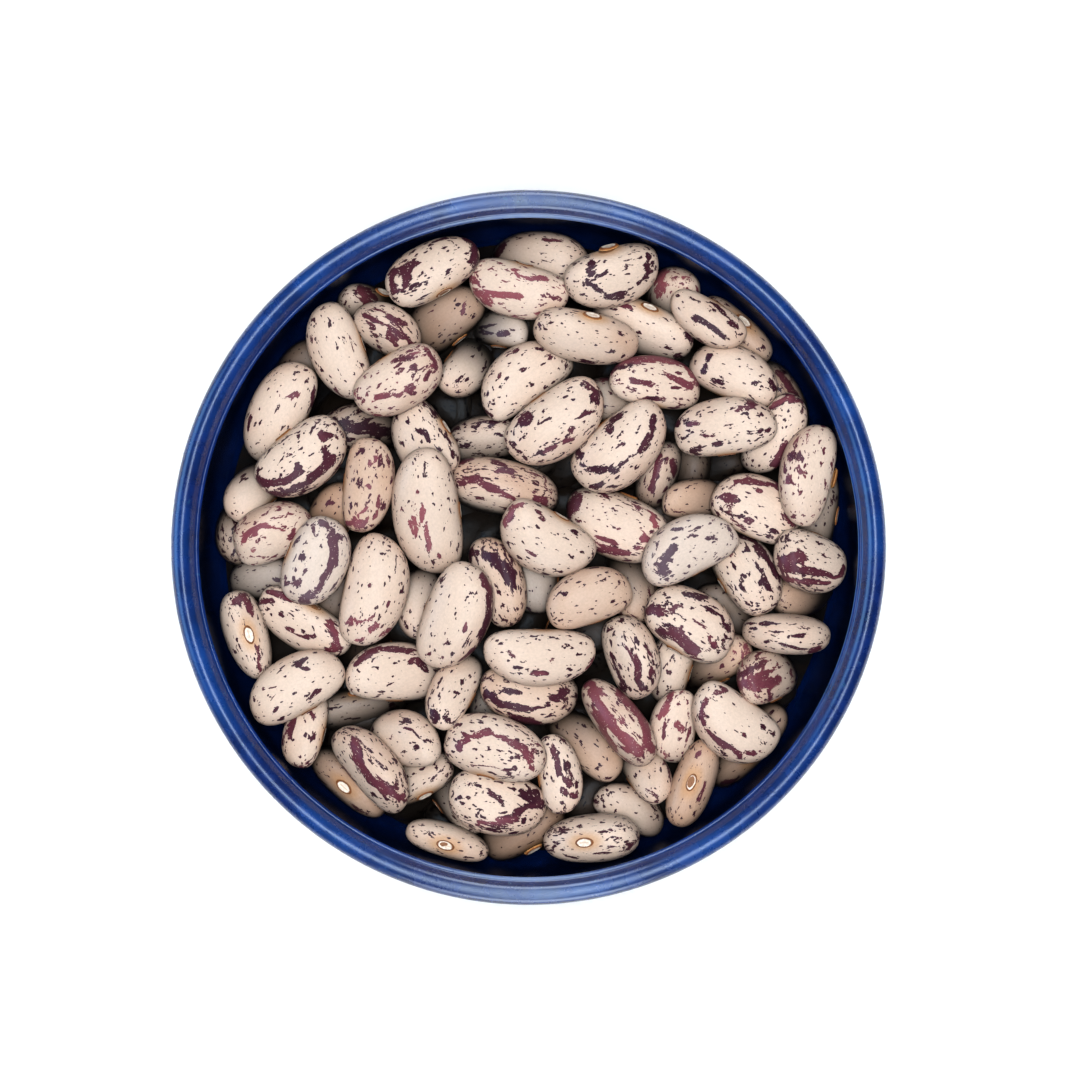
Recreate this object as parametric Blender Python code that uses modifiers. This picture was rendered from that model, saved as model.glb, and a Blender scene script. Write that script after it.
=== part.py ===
"""A small glazed bowl filled with a heap of speckled dried beans.

The model stands on the bowl's foot ring, with +Z up and the origin at the centre of the foot ring's
underside. Driving sizes are in millimetres and are turned into metres where the meshes are made.
"""

from collections import namedtuple

import bmesh
import bpy
import numpy as np

MM = 0.001

# Bowl
BOWL_HEIGHT = 46.0
RIM_RADIUS = 50.0
LIP_ROUND = 1.5
LIP_START = 150.0
LIP_POINTS = 6
LEDGE_OUTER = (46.65, 44.4)
LEDGE_INNER = (46.15, 44.25)
INNER_RADIUS = 46.6
INNER_TOP = 42.6
INNER_FLOOR = 7.2
INNER_SHARES = (1.0, 0.998, 0.985, 0.95, 0.88, 0.76, 0.58, 0.35, 0.15, 0.0)
OUTER_BOTTOM = 0.5
OUTER_SHARES = (0.2, 0.4, 0.58, 0.73, 0.84)
INNER_POWER = 2.8
OUTER_POWER = 2.3
FOOT_RADIUS = 26.5
FOOT_WIDTH = 3.4
FOOT_BEVEL = 0.5
RECESS_HEIGHT = 2.6
RECESS_SLOPE = 1.0
AROUND = 48
WELD = 0.01

# Heap: how far its top lies under the rim, and how far one layer of beans lies under the next
CREST_DROP = 6.5
EDGE_DROP = 7.0
LAYER_STEP = 2.5
CORE_DROP = 7.5
CORE_GAP = 0.3
CORE_RADII = np.array([0.0, 12.0, 24.0, 34.0])
CORE_SHARES = np.array([0.0, 0.3, 0.6, 0.8, 0.93, 0.985])
WALL_GAP = 0.1
DEEPEST_LAYER = 2.5
KEPT_SHARE = 0.8
SHARP_ANGLE = 40.0

# Beans: forms shared by all of them, as shares of a bean's own half width
THICKNESS_SHARE = 0.72
BLUNTNESS = 2.35
BEND_CENTRE = 0.35
FACET_GROWTH = 1.06
BEAN_SIDES = 7
BEAN_RINGS = 5
WOBBLE = 0.07
WOBBLE_SEED = 7

# Balls that stand for a bean while it settles: their places along it and to its two sides
BALLS_ALONG = np.array([-0.8, -0.45, -0.45, -0.15, -0.15, 0.15, 0.15, 0.45, 0.45, 0.8])
BALLS_BESIDE = np.array([0, -1, 1, -1, 1, -1, 1, -1, 1, 0])
TIP_FULLNESS = 1.35

# The beans were measured from straight above, at one height; lower ones lie a little further out
SEEN_HEIGHT = 39.0
SEEN_DISTANCE = 387.0
SEEN_FROM = np.array([1.6, 1.74])

# Settling: how firmly a bean keeps its place, and how deep neighbours press into each other
SETTLE_STEPS = 260
SETTLE_SPREAD = 2.5
SPREAD_SHARE = 0.6
SINK = 0.08
SINK_LATE = 0.03
STAY = 0.1
SLIDE = np.array([0.2, 0.2, 1.0])
TURN_EASE = 20.0
RIGHTING = np.array([0.01, 0.01, 0.05])
APART_SHARE = 0.45
INWARD_SHARE = 0.6
TINY_TURN = 0.000000001
PRESS = 0.5

BOWL_COLOUR = (0.012, 0.045, 0.20, 1.0)
BOWL_ROUGHNESS = 0.2
BEAN_COLOUR = (0.66, 0.50, 0.38, 1.0)
BEAN_ROUGHNESS = 0.42

# Each bean that shows: centre, turn, length, breadth seen from above, roll (eye upwards), lift of its
# +X end, and how many layers down it lies; millimetres and degrees
Bean = namedtuple("Bean", "x y turn length across roll lift layer bend")
LAYOUT = [
    Bean(-26.7, 27.7, 107, 14.9, 7.8, 0, 0, 1.0, 0.25),
    Bean(-35.4, 19.2, 65, 15.8, 8.3, 0, 0, 1.0, 0.12),
    Bean(-34.0, 25.6, 60, 12.0, 7.0, 0, 0, 2.6, 0.2),
    Bean(-32.2, 12.6, 217, 14.6, 9.2, 0, 0, 0.0, 0.18),
    Bean(-23.0, 34.8, 140, 11.5, 6.8, 0, 25, 2.0, 0.2),
    Bean(-20.3, 30.8, -35, 10.8, 6.2, -70, 15, 1.0, 0.2),
    Bean(-13.6, 39.5, 28, 14.4, 8.0, 15, 0, 0.0, 0.15),
    Bean(1.8, 41.0, -6, 14.6, 8.0, 0, 0, 1.3, 0.2),
    Bean(-1.3, 36.6, 170, 14.6, 7.8, 0, 0, 1.0, 0.2),
    Bean(12.1, 39.3, 202, 14.0, 8.0, 30, 0, 0.0, 0.2),
    Bean(-3.8, 30.9, -10, 9.0, 5.4, 0, 20, 2.0, 0.2),
    Bean(-11.9, 32.3, 35, 12.5, 8.0, 0, 0, 2.0, 0.2),
    Bean(-18.5, 23.5, 213, 13.6, 8.3, 0, 0, 0.0, 0.12),
    Bean(-8.9, 25.4, 235, 10.5, 6.5, 0, 25, 2.0, 0.2),
    Bean(-0.8, 23.9, 36, 14.6, 8.3, 0, 0, 1.0, 0.38),
    Bean(3.9, 17.7, 215, 15.8, 9.2, 0, 0, 0.0, 0.16),
    Bean(13.0, 14.3, 220, 15.8, 9.3, 0, 0, 0.1, 0.22),
    Bean(8.1, 29.9, 163, 15.5, 7.2, 35, 0, 0.0, 0.15),
    Bean(16.3, 31.3, 156, 15.3, 7.5, 40, 0, 1.0, 0.15),
    Bean(20.9, 35.9, 70, 10.6, 7.6, 0, 0, 2.0, 0.2),
    Bean(25.2, 32.1, 146, 12.0, 6.0, 0, 0, 1.0, 0.2),
    Bean(29.9, 31.3, 134, 12.8, 6.0, 40, 0, 1.3, 0.2),
    Bean(17.9, 23.3, -5, 13.6, 7.3, 0, 0, 1.0, 0.2),
    Bean(29.2, 24.6, -28, 13.4, 7.6, 0, 0, 1.0, 0.2),
    Bean(36.8, 21.8, -55, 12.5, 7.0, -40, 0, 2.0, 0.2),
    Bean(27.6, 17.0, 8, 14.9, 8.2, 0, 0, 0.0, 0.12),
    Bean(35.0, 16.0, 237, 13.3, 7.0, 0, 0, 1.0, 0.2),
    Bean(40.3, 10.6, 73, 14.4, 7.6, 0, 0, 0.0, 0.2),
    Bean(40.5, 5.0, 80, 13.0, 7.4, 0, 0, 2.0, 0.2),
    Bean(32.3, 5.5, -22, 13.5, 8.8, 0, 0, 1.0, 0.2),
    Bean(23.7, 6.7, 0, 11.0, 6.0, 0, 0, 2.0, 0.2),
    Bean(25.0, 11.5, 15, 13.0, 7.4, 0, 0, 3.0, 0.2),
    Bean(18.6, 10.1, 68, 10.8, 5.6, -80, 0, 2.0, 0.2),
    Bean(12.5, 3.2, 156, 15.3, 9.5, 0, 0, 1.0, 0.12),
    Bean(2.6, 1.1, 149, 14.3, 8.9, 0, 0, 0.0, 0.3),
    Bean(-3.8, 8.7, -22, 16.6, 7.8, -75, 0, 1.0, 0.1),
    Bean(-14.2, 5.0, 94, 19.2, 9.8, 0, 0, 0.5, 0.2),
    Bean(-14.8, 15.0, 125, 12.5, 8.5, 0, 0, 1.0, 0.2),
    Bean(-9.4, 18.8, -25, 13.0, 7.4, 0, 0, 3.0, 0.2),
    Bean(-6.5, 15.0, 15, 12.0, 7.0, 0, 0, 2.0, 0.2),
    Bean(-22.9, 8.8, 263, 13.8, 7.2, 0, 0, 0.0, 0.2),
    Bean(-24.2, 16.8, 5, 12.0, 7.2, 0, 0, 2.0, 0.2),
    Bean(-28.5, 8.0, 40, 12.0, 7.0, 0, 0, 3.0, 0.2),
    Bean(-27.9, 4.6, 60, 11.0, 6.6, 0, 0, 2.0, 0.2),
    Bean(-36.1, 2.1, 15, 12.0, 8.2, 0, 0, 1.0, 0.2),
    Bean(-30.2, -1.9, 251, 12.9, 8.8, 0, 0, 0.0, 0.12),
    Bean(-41.8, 3.2, 95, 12.6, 6.6, -45, 0, 2.0, 0.2),
    Bean(-32.2, -10.8, 152, 15.0, 7.0, 25, 0, 1.0, 0.2),
    Bean(-37.5, -4.4, 0, 10.5, 6.4, 0, 0, 2.0, 0.2),
    Bean(-40.2, -12.3, 102, 13.2, 6.8, 60, 0, 1.0, 0.2),
    Bean(-35.0, -14.5, 20, 12.5, 7.4, 0, 0, 3.0, 0.2),
    Bean(-33.1, -19.8, 28, 14.4, 8.4, 0, 0, 0.0, 0.14),
    Bean(-22.0, -6.2, 258, 16.2, 9.0, 0, 0, 0.0, 0.26),
    Bean(-10.4, -9.8, 246, 16.0, 9.3, 0, 0, 0.2, 0.18),
    Bean(-4.2, -4.9, -72, 13.6, 7.5, 0, 0, 1.0, 0.2),
    Bean(-7.6, 2.2, 30, 12.0, 7.0, 0, 0, 3.0, 0.2),
    Bean(1.0, -3.8, 80, 12.0, 7.0, 0, 0, 2.0, 0.2),
    Bean(0.3, -9.0, 60, 12.0, 7.0, 0, 0, 3.0, 0.2),
    Bean(-15.5, -8.1, 80, 10.5, 6.4, 0, 0, 2.0, 0.2),
    Bean(-18.1, -10.5, -40, 12.0, 7.0, 0, 0, 3.0, 0.2),
    Bean(-19.0, -17.9, -4, 15.0, 8.5, 0, 0, 1.0, 0.26),
    Bean(-24.0, -22.8, 190, 13.5, 6.5, 35, 0, 1.6, 0.2),
    Bean(-10.8, -20.3, 60, 12.6, 6.6, 0, 0, 0.8, 0.2),
    Bean(-31.9, -26.2, 70, 11.0, 5.8, 0, 0, 1.0, 0.2),
    Bean(-17.6, -27.4, 5, 12.8, 8.2, 0, 0, 1.2, 0.3),
    Bean(-4.9, -28.6, -17, 15.0, 9.0, 0, 0, 0.0, 0.12),
    Bean(-22.0, -31.0, -52, 15.2, 6.6, -60, 0, 0.9, 0.3),
    Bean(-25.6, -34.0, -42, 13.4, 5.8, 75, 0, 1.7, 0.2),
    Bean(-16.5, -37.3, -20, 11.0, 6.6, 0, 0, 3.0, 0.2),
    Bean(-11.8, -43.0, -19, 12.2, 4.8, 85, 0, 0.7, 0.2),
    Bean(-15.7, -32.6, 30, 11.0, 6.6, 0, 0, 2.0, 0.2),
    Bean(-10.0, -35.0, -40, 14.0, 8.0, 0, 0, 2.0, 0.2),
    Bean(-4.5, -35.8, 165, 14.2, 9.0, 0, 0, 1.0, 0.12),
    Bean(-1.1, -41.0, 37, 13.2, 8.0, 0, 0, 1.8, 0.2),
    Bean(-10.1, -39.1, -35, 11.0, 6.6, 0, 0, 3.0, 0.2),
    Bean(4.2, -32.2, -80, 11.6, 6.3, 0, 0, 0.5, 0.2),
    Bean(8.3, -28.0, -38, 13.5, 7.0, 0, 0, 1.7, 0.2),
    Bean(12.7, -24.6, -56, 14.8, 6.5, -70, 0, 0.4, 0.2),
    Bean(16.8, -31.8, -50, 12.0, 6.0, 0, 0, 1.4, 0.2),
    Bean(9.8, -35.0, 45, 12.0, 7.0, 0, 0, 2.3, 0.2),
    Bean(14.3, -37.3, -15, 11.0, 6.2, 0, 0, 2.0, 0.2),
    Bean(9.4, -41.8, 2, 13.7, 6.8, 88, 0, 0.0, 0.2),
    Bean(14.6, -15.5, -71, 12.4, 7.2, -50, 0, 0.0, 0.2),
    Bean(0.0, -20.8, 170, 14.0, 8.0, 0, 0, 1.0, 0.2),
    Bean(-4.5, -21.2, 60, 12.0, 7.0, 0, 0, 2.2, 0.2),
    Bean(1.6, -15.3, 182, 16.3, 7.8, 20, 0, 0.2, 0.3),
    Bean(8.4, -7.1, 17, 12.8, 7.8, 0, 0, 0.0, 0.22),
    Bean(14.6, -5.5, -75, 12.0, 7.0, 0, 0, 2.0, 0.2),
    Bean(9.3, -12.3, 20, 12.0, 7.0, 0, 0, 3.0, 0.2),
    Bean(22.6, -0.2, 27, 14.4, 8.2, 0, 0, 0.0, 0.32),
    Bean(31.0, -3.8, -65, 13.8, 8.5, 0, 0, 1.0, 0.14),
    Bean(40.2, -2.0, 165, 11.8, 8.6, 0, 0, 0.7, 0.2),
    Bean(39.8, -6.2, 190, 11.6, 7.0, 0, 0, 2.0, 0.2),
    Bean(36.6, -12.3, -10, 12.9, 5.9, -80, 0, 0.0, 0.2),
    Bean(22.8, -10.8, -30, 13.5, 9.3, 0, 0, 0.0, 0.12),
    Bean(20.2, -17.1, 70, 10.5, 6.4, 0, 40, 1.2, 0.2),
    Bean(26.5, -16.2, 15, 12.5, 7.2, 0, 0, 1.6, 0.2),
    Bean(33.5, -18.3, 22, 12.6, 7.6, 0, 0, 1.0, 0.2),
    Bean(28.8, -24.6, 141, 14.2, 9.0, 0, 0, 0.1, 0.3),
    Bean(20.7, -25.4, 79, 11.2, 6.6, 0, 0, 1.0, 0.2),
    Bean(23.4, -33.7, 257, 13.2, 6.6, 60, 0, 1.0, 0.2),
    Bean(32.1, -29.2, 59, 15.2, 7.0, 45, 0, 1.7, 0.2),
    Bean(18.8, -36.0, -30, 12.0, 7.0, 0, 0, 3.0, 0.2),
    Bean(-38.8, 7.9, 60, 11.0, 6.6, 0, 0, 2.0, 0.2),
    Bean(-27.3, -5.7, 70, 12.0, 7.0, 0, 0, 2.6, 0.2),
    Bean(5.4, 11.8, 30, 12.5, 7.2, 0, 0, 3.0, 0.2),
    Bean(12.5, 20.5, -15, 11.5, 7.0, 0, 0, 2.0, 0.2),
    Bean(28.3, -9.5, -45, 12.0, 7.0, 0, 0, 2.2, 0.2),
]


def clear_scene():
    for leftover in list(bpy.data.objects):
        bpy.data.objects.remove(leftover, do_unlink=True)


def new_collection(name):
    collection = bpy.data.collections.new(name)
    bpy.context.scene.collection.children.link(collection)
    return collection


def new_material(name, colour, roughness):
    material = bpy.data.materials.new(name)
    material.use_nodes = True
    shader = material.node_tree.nodes["Principled BSDF"]
    shader.inputs["Base Color"].default_value = colour
    shader.inputs["Roughness"].default_value = roughness
    shader.inputs["Metallic"].default_value = 0.0
    material.diffuse_color = colour
    return material


def arc(centre, radius, start, end, count):
    """Points of a round stretch of a profile, by angles in degrees from +X towards +Z."""
    angles = np.radians(np.linspace(start, end, count))
    return [(centre[0] + radius * np.cos(a), centre[1] + radius * np.sin(a)) for a in angles]


def flank(radius, power, top, bottom, shares):
    """Points down a steep side that rounds into a flat bottom, at shares of its height."""
    drop = np.asarray(shares)
    reach = radius * (1 - drop ** power) ** (1 / power)
    return list(zip(reach, top - drop * (top - bottom)))


def inner_radius(height):
    """Radius of the bowl's inside at a height."""
    inside = flank(INNER_RADIUS, INNER_POWER, INNER_TOP, INNER_FLOOR, INNER_SHARES)
    radii, heights = np.array(inside).T
    return np.interp(height, heights, radii)


def turned_solid(name, profile, collection, material):
    """A closed solid turned from a profile that starts and ends on the axis."""
    mesh = bpy.data.meshes.new(name)
    form = bmesh.new()
    points = [form.verts.new((r * MM, 0.0, z * MM)) for r, z in profile]
    for upper, lower in zip(points, points[1:]):
        form.edges.new((upper, lower))
    form.to_mesh(mesh)
    form.free()
    solid = bpy.data.objects.new(name, mesh)
    collection.objects.link(solid)
    screw = solid.modifiers.new("turn", "SCREW")
    screw.axis = "Z"
    screw.angle = 2 * np.pi
    screw.steps = AROUND
    screw.render_steps = AROUND
    screw.use_merge_vertices = True
    screw.merge_threshold = WELD * MM
    screw.use_smooth_shade = True
    mesh.materials.append(material)
    return solid


def applied(solid):
    """The object with its modifiers applied to its mesh."""
    depsgraph = bpy.context.evaluated_depsgraph_get()
    mesh = bpy.data.meshes.new_from_object(solid.evaluated_get(depsgraph))
    solid.modifiers.clear()
    solid.data = mesh
    return solid


def bowl_profile():
    """From the middle of the bowl's floor up its inside, over the lip and down to the foot."""
    rise = flank(INNER_RADIUS, INNER_POWER, INNER_TOP, INNER_FLOOR, INNER_SHARES)
    lip_centre = (RIM_RADIUS - LIP_ROUND, BOWL_HEIGHT - LIP_ROUND)
    lip = arc(lip_centre, LIP_ROUND, LIP_START, 0, LIP_POINTS)
    outside = flank(RIM_RADIUS, OUTER_POWER, lip_centre[1], OUTER_BOTTOM, OUTER_SHARES)
    foot_share = (1 - (FOOT_RADIUS / RIM_RADIUS) ** OUTER_POWER) ** (1 / OUTER_POWER)
    foot_top = flank(RIM_RADIUS, OUTER_POWER, lip_centre[1], OUTER_BOTTOM, (foot_share,))
    foot_inner = FOOT_RADIUS - FOOT_WIDTH
    foot = [(FOOT_RADIUS, FOOT_BEVEL), (FOOT_RADIUS - FOOT_BEVEL, 0.0), (foot_inner + FOOT_BEVEL, 0.0),
            (foot_inner, FOOT_BEVEL), (foot_inner - RECESS_SLOPE, RECESS_HEIGHT), (0.0, RECESS_HEIGHT)]
    return rise + [LEDGE_INNER, LEDGE_OUTER] + lip + outside + foot_top + foot


def core_profile():
    """The packed beans inside the bowl, from the crest of the hidden layer to the floor's middle."""
    top = list(zip(CORE_RADII, heap_top(CORE_RADII) - CORE_DROP))
    edge = heap_top(INNER_RADIUS) - CORE_DROP
    heights = edge - CORE_SHARES * (edge - INNER_FLOOR - CORE_GAP)
    side = list(zip(inner_radius(heights) - CORE_GAP, heights))
    return top + side + [(0.0, INNER_FLOOR + CORE_GAP)]


def heap_top(radius):
    """Height of the gently domed top of the heap."""
    return BOWL_HEIGHT - CREST_DROP - (EDGE_DROP - CREST_DROP) * (radius / INNER_RADIUS) ** 2


def rotations(axis, angles):
    """Rotation matrices by the given angles about one axis, or about an axis for each angle."""
    x, y, z = np.moveaxis(np.broadcast_to(axis, angles.shape + (3,)), -1, 0)
    c, s = np.cos(angles), np.sin(angles)
    flat = np.stack([c + x * x * (1 - c), x * y * (1 - c) - z * s, x * z * (1 - c) + y * s,
                     y * x * (1 - c) + z * s, c + y * y * (1 - c), y * z * (1 - c) - x * s,
                     z * x * (1 - c) - y * s, z * y * (1 - c) + x * s, c + z * z * (1 - c)], -1)
    return flat.reshape(angles.shape + (3, 3))


def bean_sizes(beans):
    """Length, width and thickness of each bean, from its length and its breadth seen from above."""
    roll = np.radians([bean.roll for bean in beans])
    seen = np.sqrt(np.cos(roll) ** 2 + (THICKNESS_SHARE * np.sin(roll)) ** 2)
    width = np.array([bean.across for bean in beans]) / seen
    return np.stack([[bean.length for bean in beans], width, THICKNESS_SHARE * width], 1)


def bean_balls(sizes, bends):
    """Balls that fill each bean, two abreast: centres in the bean's own frame, and radii."""
    along, beside = BALLS_ALONG, BALLS_BESIDE
    half_length, half_width, half_thickness = (sizes / 2).T[:, :, None]
    taper = (1 - np.abs(along) ** BLUNTNESS) ** (1 / BLUNTNESS)
    radius = half_thickness * taper
    tip = half_length * (1 - np.abs(along)) * TIP_FULLNESS
    radius = np.where(beside == 0, np.minimum(radius, tip), radius)
    across = beside * (half_width * taper - radius)
    across = across + half_width * bends[:, None] * (BEND_CENTRE - along ** 2)
    return np.stack([along * half_length, across, np.zeros_like(across)], -1), radius


def contacts(centres, balls, radii, reach):
    """Deepest meeting of each pair of beans that touch: indices, depth, direction and place."""
    apart = np.linalg.norm(centres[:, None] - centres[None], axis=2)
    one, other = np.nonzero(np.triu(apart < reach[:, None] + reach[None], 1))
    gap = balls[one][:, :, None] - balls[other][:, None]
    distance = np.linalg.norm(gap, axis=3)
    bite = radii[one][:, :, None] + radii[other][:, None] - PRESS - distance
    deepest = bite.reshape(len(one), -1).argmax(1)
    row = np.arange(len(one))
    ball, facing_ball = np.divmod(deepest, bite.shape[2])
    depth = bite[row, ball, facing_ball]
    direction = gap[row, ball, facing_ball] / distance[row, ball, facing_ball][:, None]
    place = balls[other, facing_ball] + direction * radii[other, facing_ball][:, None]
    touching = depth > 0
    return [part[touching] for part in (one, other, depth, direction, place)]


def settled_beans(beans):
    """Centres and rotations of the beans once no two of them, and no bean and the wall, cross."""
    sizes = bean_sizes(beans)
    own_balls, radii = bean_balls(sizes, np.array([bean.bend for bean in beans]))
    seen = np.array([(bean.x, bean.y) for bean in beans])
    layer = np.array([bean.layer for bean in beans])
    turn, roll, lift = np.radians([(bean.turn, bean.roll, bean.lift) for bean in beans]).T
    laid = rotations((0, 0, 1), turn) @ rotations((0, 1, 0), -lift) @ rotations((1, 0, 0), -roll)
    facing = laid.copy()
    upright = np.hypot(sizes[:, 1] * np.sin(roll), sizes[:, 2] * np.cos(roll)) / 2
    highest = heap_top(np.hypot(*seen.T)) - upright
    deeper = (SEEN_HEIGHT - highest + layer * LAYER_STEP) / SEEN_DISTANCE
    home = seen + (seen - SEEN_FROM) * deeper[:, None]
    centres = np.column_stack([home, highest - layer * LAYER_STEP * SETTLE_SPREAD])
    reach = sizes[:, 0] / 2
    ease = TURN_EASE / (sizes[:, 0] ** 2 + sizes[:, 1] ** 2)
    everyone = np.arange(len(beans))
    for step in range(SETTLE_STEPS):
        progress = min(1.0, step / (SPREAD_SHARE * SETTLE_STEPS))
        spread = SETTLE_SPREAD + (1 - SETTLE_SPREAD) * progress
        pull = SINK if progress < 1 else SINK_LATE
        centres[:, 2] += pull * (highest - layer * LAYER_STEP * spread - centres[:, 2])
        centres[:, :2] += STAY * (home - centres[:, :2])
        balls = centres[:, None] + np.einsum("nij,nkj->nki", facing, own_balls)
        one, other, depth, direction, place = contacts(centres, balls, radii, reach)
        lever = np.cross(place - centres[one], direction)
        other_lever = np.cross(place - centres[other], direction)
        give = 2 * (direction ** 2 * SLIDE).sum(1)
        give += ease[one] * (lever ** 2).sum(1) + ease[other] * (other_lever ** 2).sum(1)
        push = (APART_SHARE * depth / give)[:, None]
        spin = np.cross(facing, laid, axis=1).sum(2) * RIGHTING
        np.add.at(centres, one, push * direction * SLIDE)
        np.add.at(centres, other, -push * direction * SLIDE)
        np.add.at(spin, one, push * ease[one][:, None] * lever)
        np.add.at(spin, other, -push * ease[other][:, None] * other_lever)
        out = np.hypot(balls[:, :, 0], balls[:, :, 1])
        beyond = out + radii + WALL_GAP - inner_radius(balls[:, :, 2])
        worst = beyond.argmax(1)
        ball = balls[everyone, worst]
        inward = ball * (-1, -1, 0) / out[everyone, worst][:, None]
        lever = np.cross(ball - centres, inward)
        push = INWARD_SHARE * np.maximum(beyond[everyone, worst], 0) / (1 + ease * (lever ** 2).sum(1))
        centres += push[:, None] * inward
        spin += (push * ease)[:, None] * lever
        angle = np.linalg.norm(spin, axis=1)
        axis = spin / np.maximum(angle, TINY_TURN)[:, None]
        facing = rotations(axis, angle) @ facing
        centres = np.round(centres, 6)
    return centres, facing, sizes


def bean_surface(directions, size, bend, taper):
    """Surface points of one bean in its own frame: length along X, its eye on the -Y side."""
    blunt = (np.abs(directions) ** BLUNTNESS).sum(1) ** (-1 / BLUNTNESS)
    along, beside, above = (directions * blunt[:, None]).T
    half_length, half_width, half_thickness = size / 2
    swell = 1 + taper * along
    width = half_width * (beside * swell + bend * (BEND_CENTRE - along ** 2))
    return np.stack([half_length * along, width, half_thickness * above * swell], 1)


def clear_of_wall(points):
    """The points of a bean moved inwards until all of them are clear of the bowl."""
    facet = np.cos(np.pi / AROUND)
    out = np.hypot(points[:, 0], points[:, 1])
    beyond = out - (inner_radius(points[:, 2]) * facet - CORE_GAP)
    worst = beyond.argmax()
    if beyond[worst] <= 0:
        return points
    return points - points[worst] * (1, 1, 0) / out[worst] * beyond[worst]


def make_bean(points_of, collection):
    """One bean with few sides, shaped from a sphere whose poles become its two ends."""
    form = bmesh.new()
    bmesh.ops.create_uvsphere(form, u_segments=BEAN_SIDES, v_segments=BEAN_RINGS, radius=1.0)
    bmesh.ops.triangulate(form, faces=form.faces)
    directions = np.array([vertex.co.zxy for vertex in form.verts])
    for vertex, point in zip(form.verts, points_of(directions)):
        vertex.co = point * MM
    mesh = bpy.data.meshes.new("bean")
    form.to_mesh(mesh)
    form.free()
    bean = bpy.data.objects.new("bean", mesh)
    collection.objects.link(bean)
    return bean


def outer_body_only(solid):
    """Keeps the one outer skin of a solid: sealed hollows are filled, loose scraps dropped."""
    form = bmesh.new()
    form.from_mesh(solid.data)
    bmesh.ops.remove_doubles(form, verts=form.verts, dist=WELD * MM / 5)
    unseen = set(form.verts)
    bodies = []
    while unseen:
        body = {unseen.pop()}
        edge_of_search = list(body)
        while edge_of_search:
            vertex = edge_of_search.pop()
            for edge in vertex.link_edges:
                neighbour = edge.other_vert(vertex)
                if neighbour in unseen:
                    unseen.discard(neighbour)
                    body.add(neighbour)
                    edge_of_search.append(neighbour)
        bodies.append(body)
    bodies.sort(key=len, reverse=True)
    scraps = [vertex for body in bodies[1:] for vertex in body]
    bmesh.ops.delete(form, geom=scraps, context="VERTS")
    bmesh.ops.triangulate(form, faces=form.faces)
    form.to_mesh(solid.data)
    form.free()


def make_heap(collection, material):
    """The packed core with every bean that shows fused on to it."""
    loose = new_collection("loose_beans")
    core = applied(turned_solid("bean_heap", core_profile(), collection, material))
    tapers = np.random.default_rng(WOBBLE_SEED).uniform(-WOBBLE, WOBBLE, len(LAYOUT))
    for bean, centre, rotation, size, taper in zip(LAYOUT, *settled_beans(LAYOUT), tapers):
        if bean.layer > DEEPEST_LAYER:
            continue

        def placed(directions):
            points = bean_surface(directions, size * FACET_GROWTH, bean.bend, taper)
            return clear_of_wall(points @ rotation.T + centre)

        make_bean(placed, loose)
    join = core.modifiers.new("fuse", "BOOLEAN")
    join.operation = "UNION"
    join.operand_type = "COLLECTION"
    join.collection = loose
    join.solver = "MANIFOLD"
    applied(core)
    for bean in list(loose.objects):
        bpy.data.objects.remove(bean, do_unlink=True)
    bpy.data.collections.remove(loose)
    outer_body_only(core)
    thin = core.modifiers.new("thin", "DECIMATE")
    thin.ratio = KEPT_SHARE
    applied(core)
    core.data.shade_smooth()
    core.data.set_sharp_from_angle(angle=np.radians(SHARP_ANGLE))
    return core


def main():
    clear_scene()
    parts = new_collection("bowl_of_dried_beans")
    glaze = new_material("cobalt_glaze", BOWL_COLOUR, BOWL_ROUGHNESS)
    beans = new_material("dried_beans", BEAN_COLOUR, BEAN_ROUGHNESS)
    turned_solid("bowl", bowl_profile(), parts, glaze)
    make_heap(parts, beans)


main()
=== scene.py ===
"""A glazed bowl heaped with speckled dried beans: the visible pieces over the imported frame."""

from collections import namedtuple

import bmesh
import bpy
import numpy as np
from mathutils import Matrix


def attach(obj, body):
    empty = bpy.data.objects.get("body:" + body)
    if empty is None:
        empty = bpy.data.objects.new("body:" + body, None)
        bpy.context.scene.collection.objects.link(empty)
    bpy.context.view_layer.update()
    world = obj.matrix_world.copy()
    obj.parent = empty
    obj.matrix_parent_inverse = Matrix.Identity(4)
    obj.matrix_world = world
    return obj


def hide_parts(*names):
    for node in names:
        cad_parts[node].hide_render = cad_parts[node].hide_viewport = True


bl_info = {
    "name": "Bowl of Dried Beans",
    "version": (1, 0, 0),
    "blender": (4, 5, 0),
    "location": "3D View > Sidebar > Bean Bowl",
    "description": "Builds a glazed bowl heaped with speckled dried beans",
    "category": "Object",
}

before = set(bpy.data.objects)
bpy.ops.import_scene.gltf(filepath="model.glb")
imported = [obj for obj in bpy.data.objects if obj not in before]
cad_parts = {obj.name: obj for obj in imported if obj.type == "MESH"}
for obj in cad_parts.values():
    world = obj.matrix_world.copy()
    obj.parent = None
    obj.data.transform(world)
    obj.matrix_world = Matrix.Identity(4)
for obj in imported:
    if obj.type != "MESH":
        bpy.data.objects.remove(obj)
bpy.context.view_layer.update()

MM = 0.001

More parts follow.
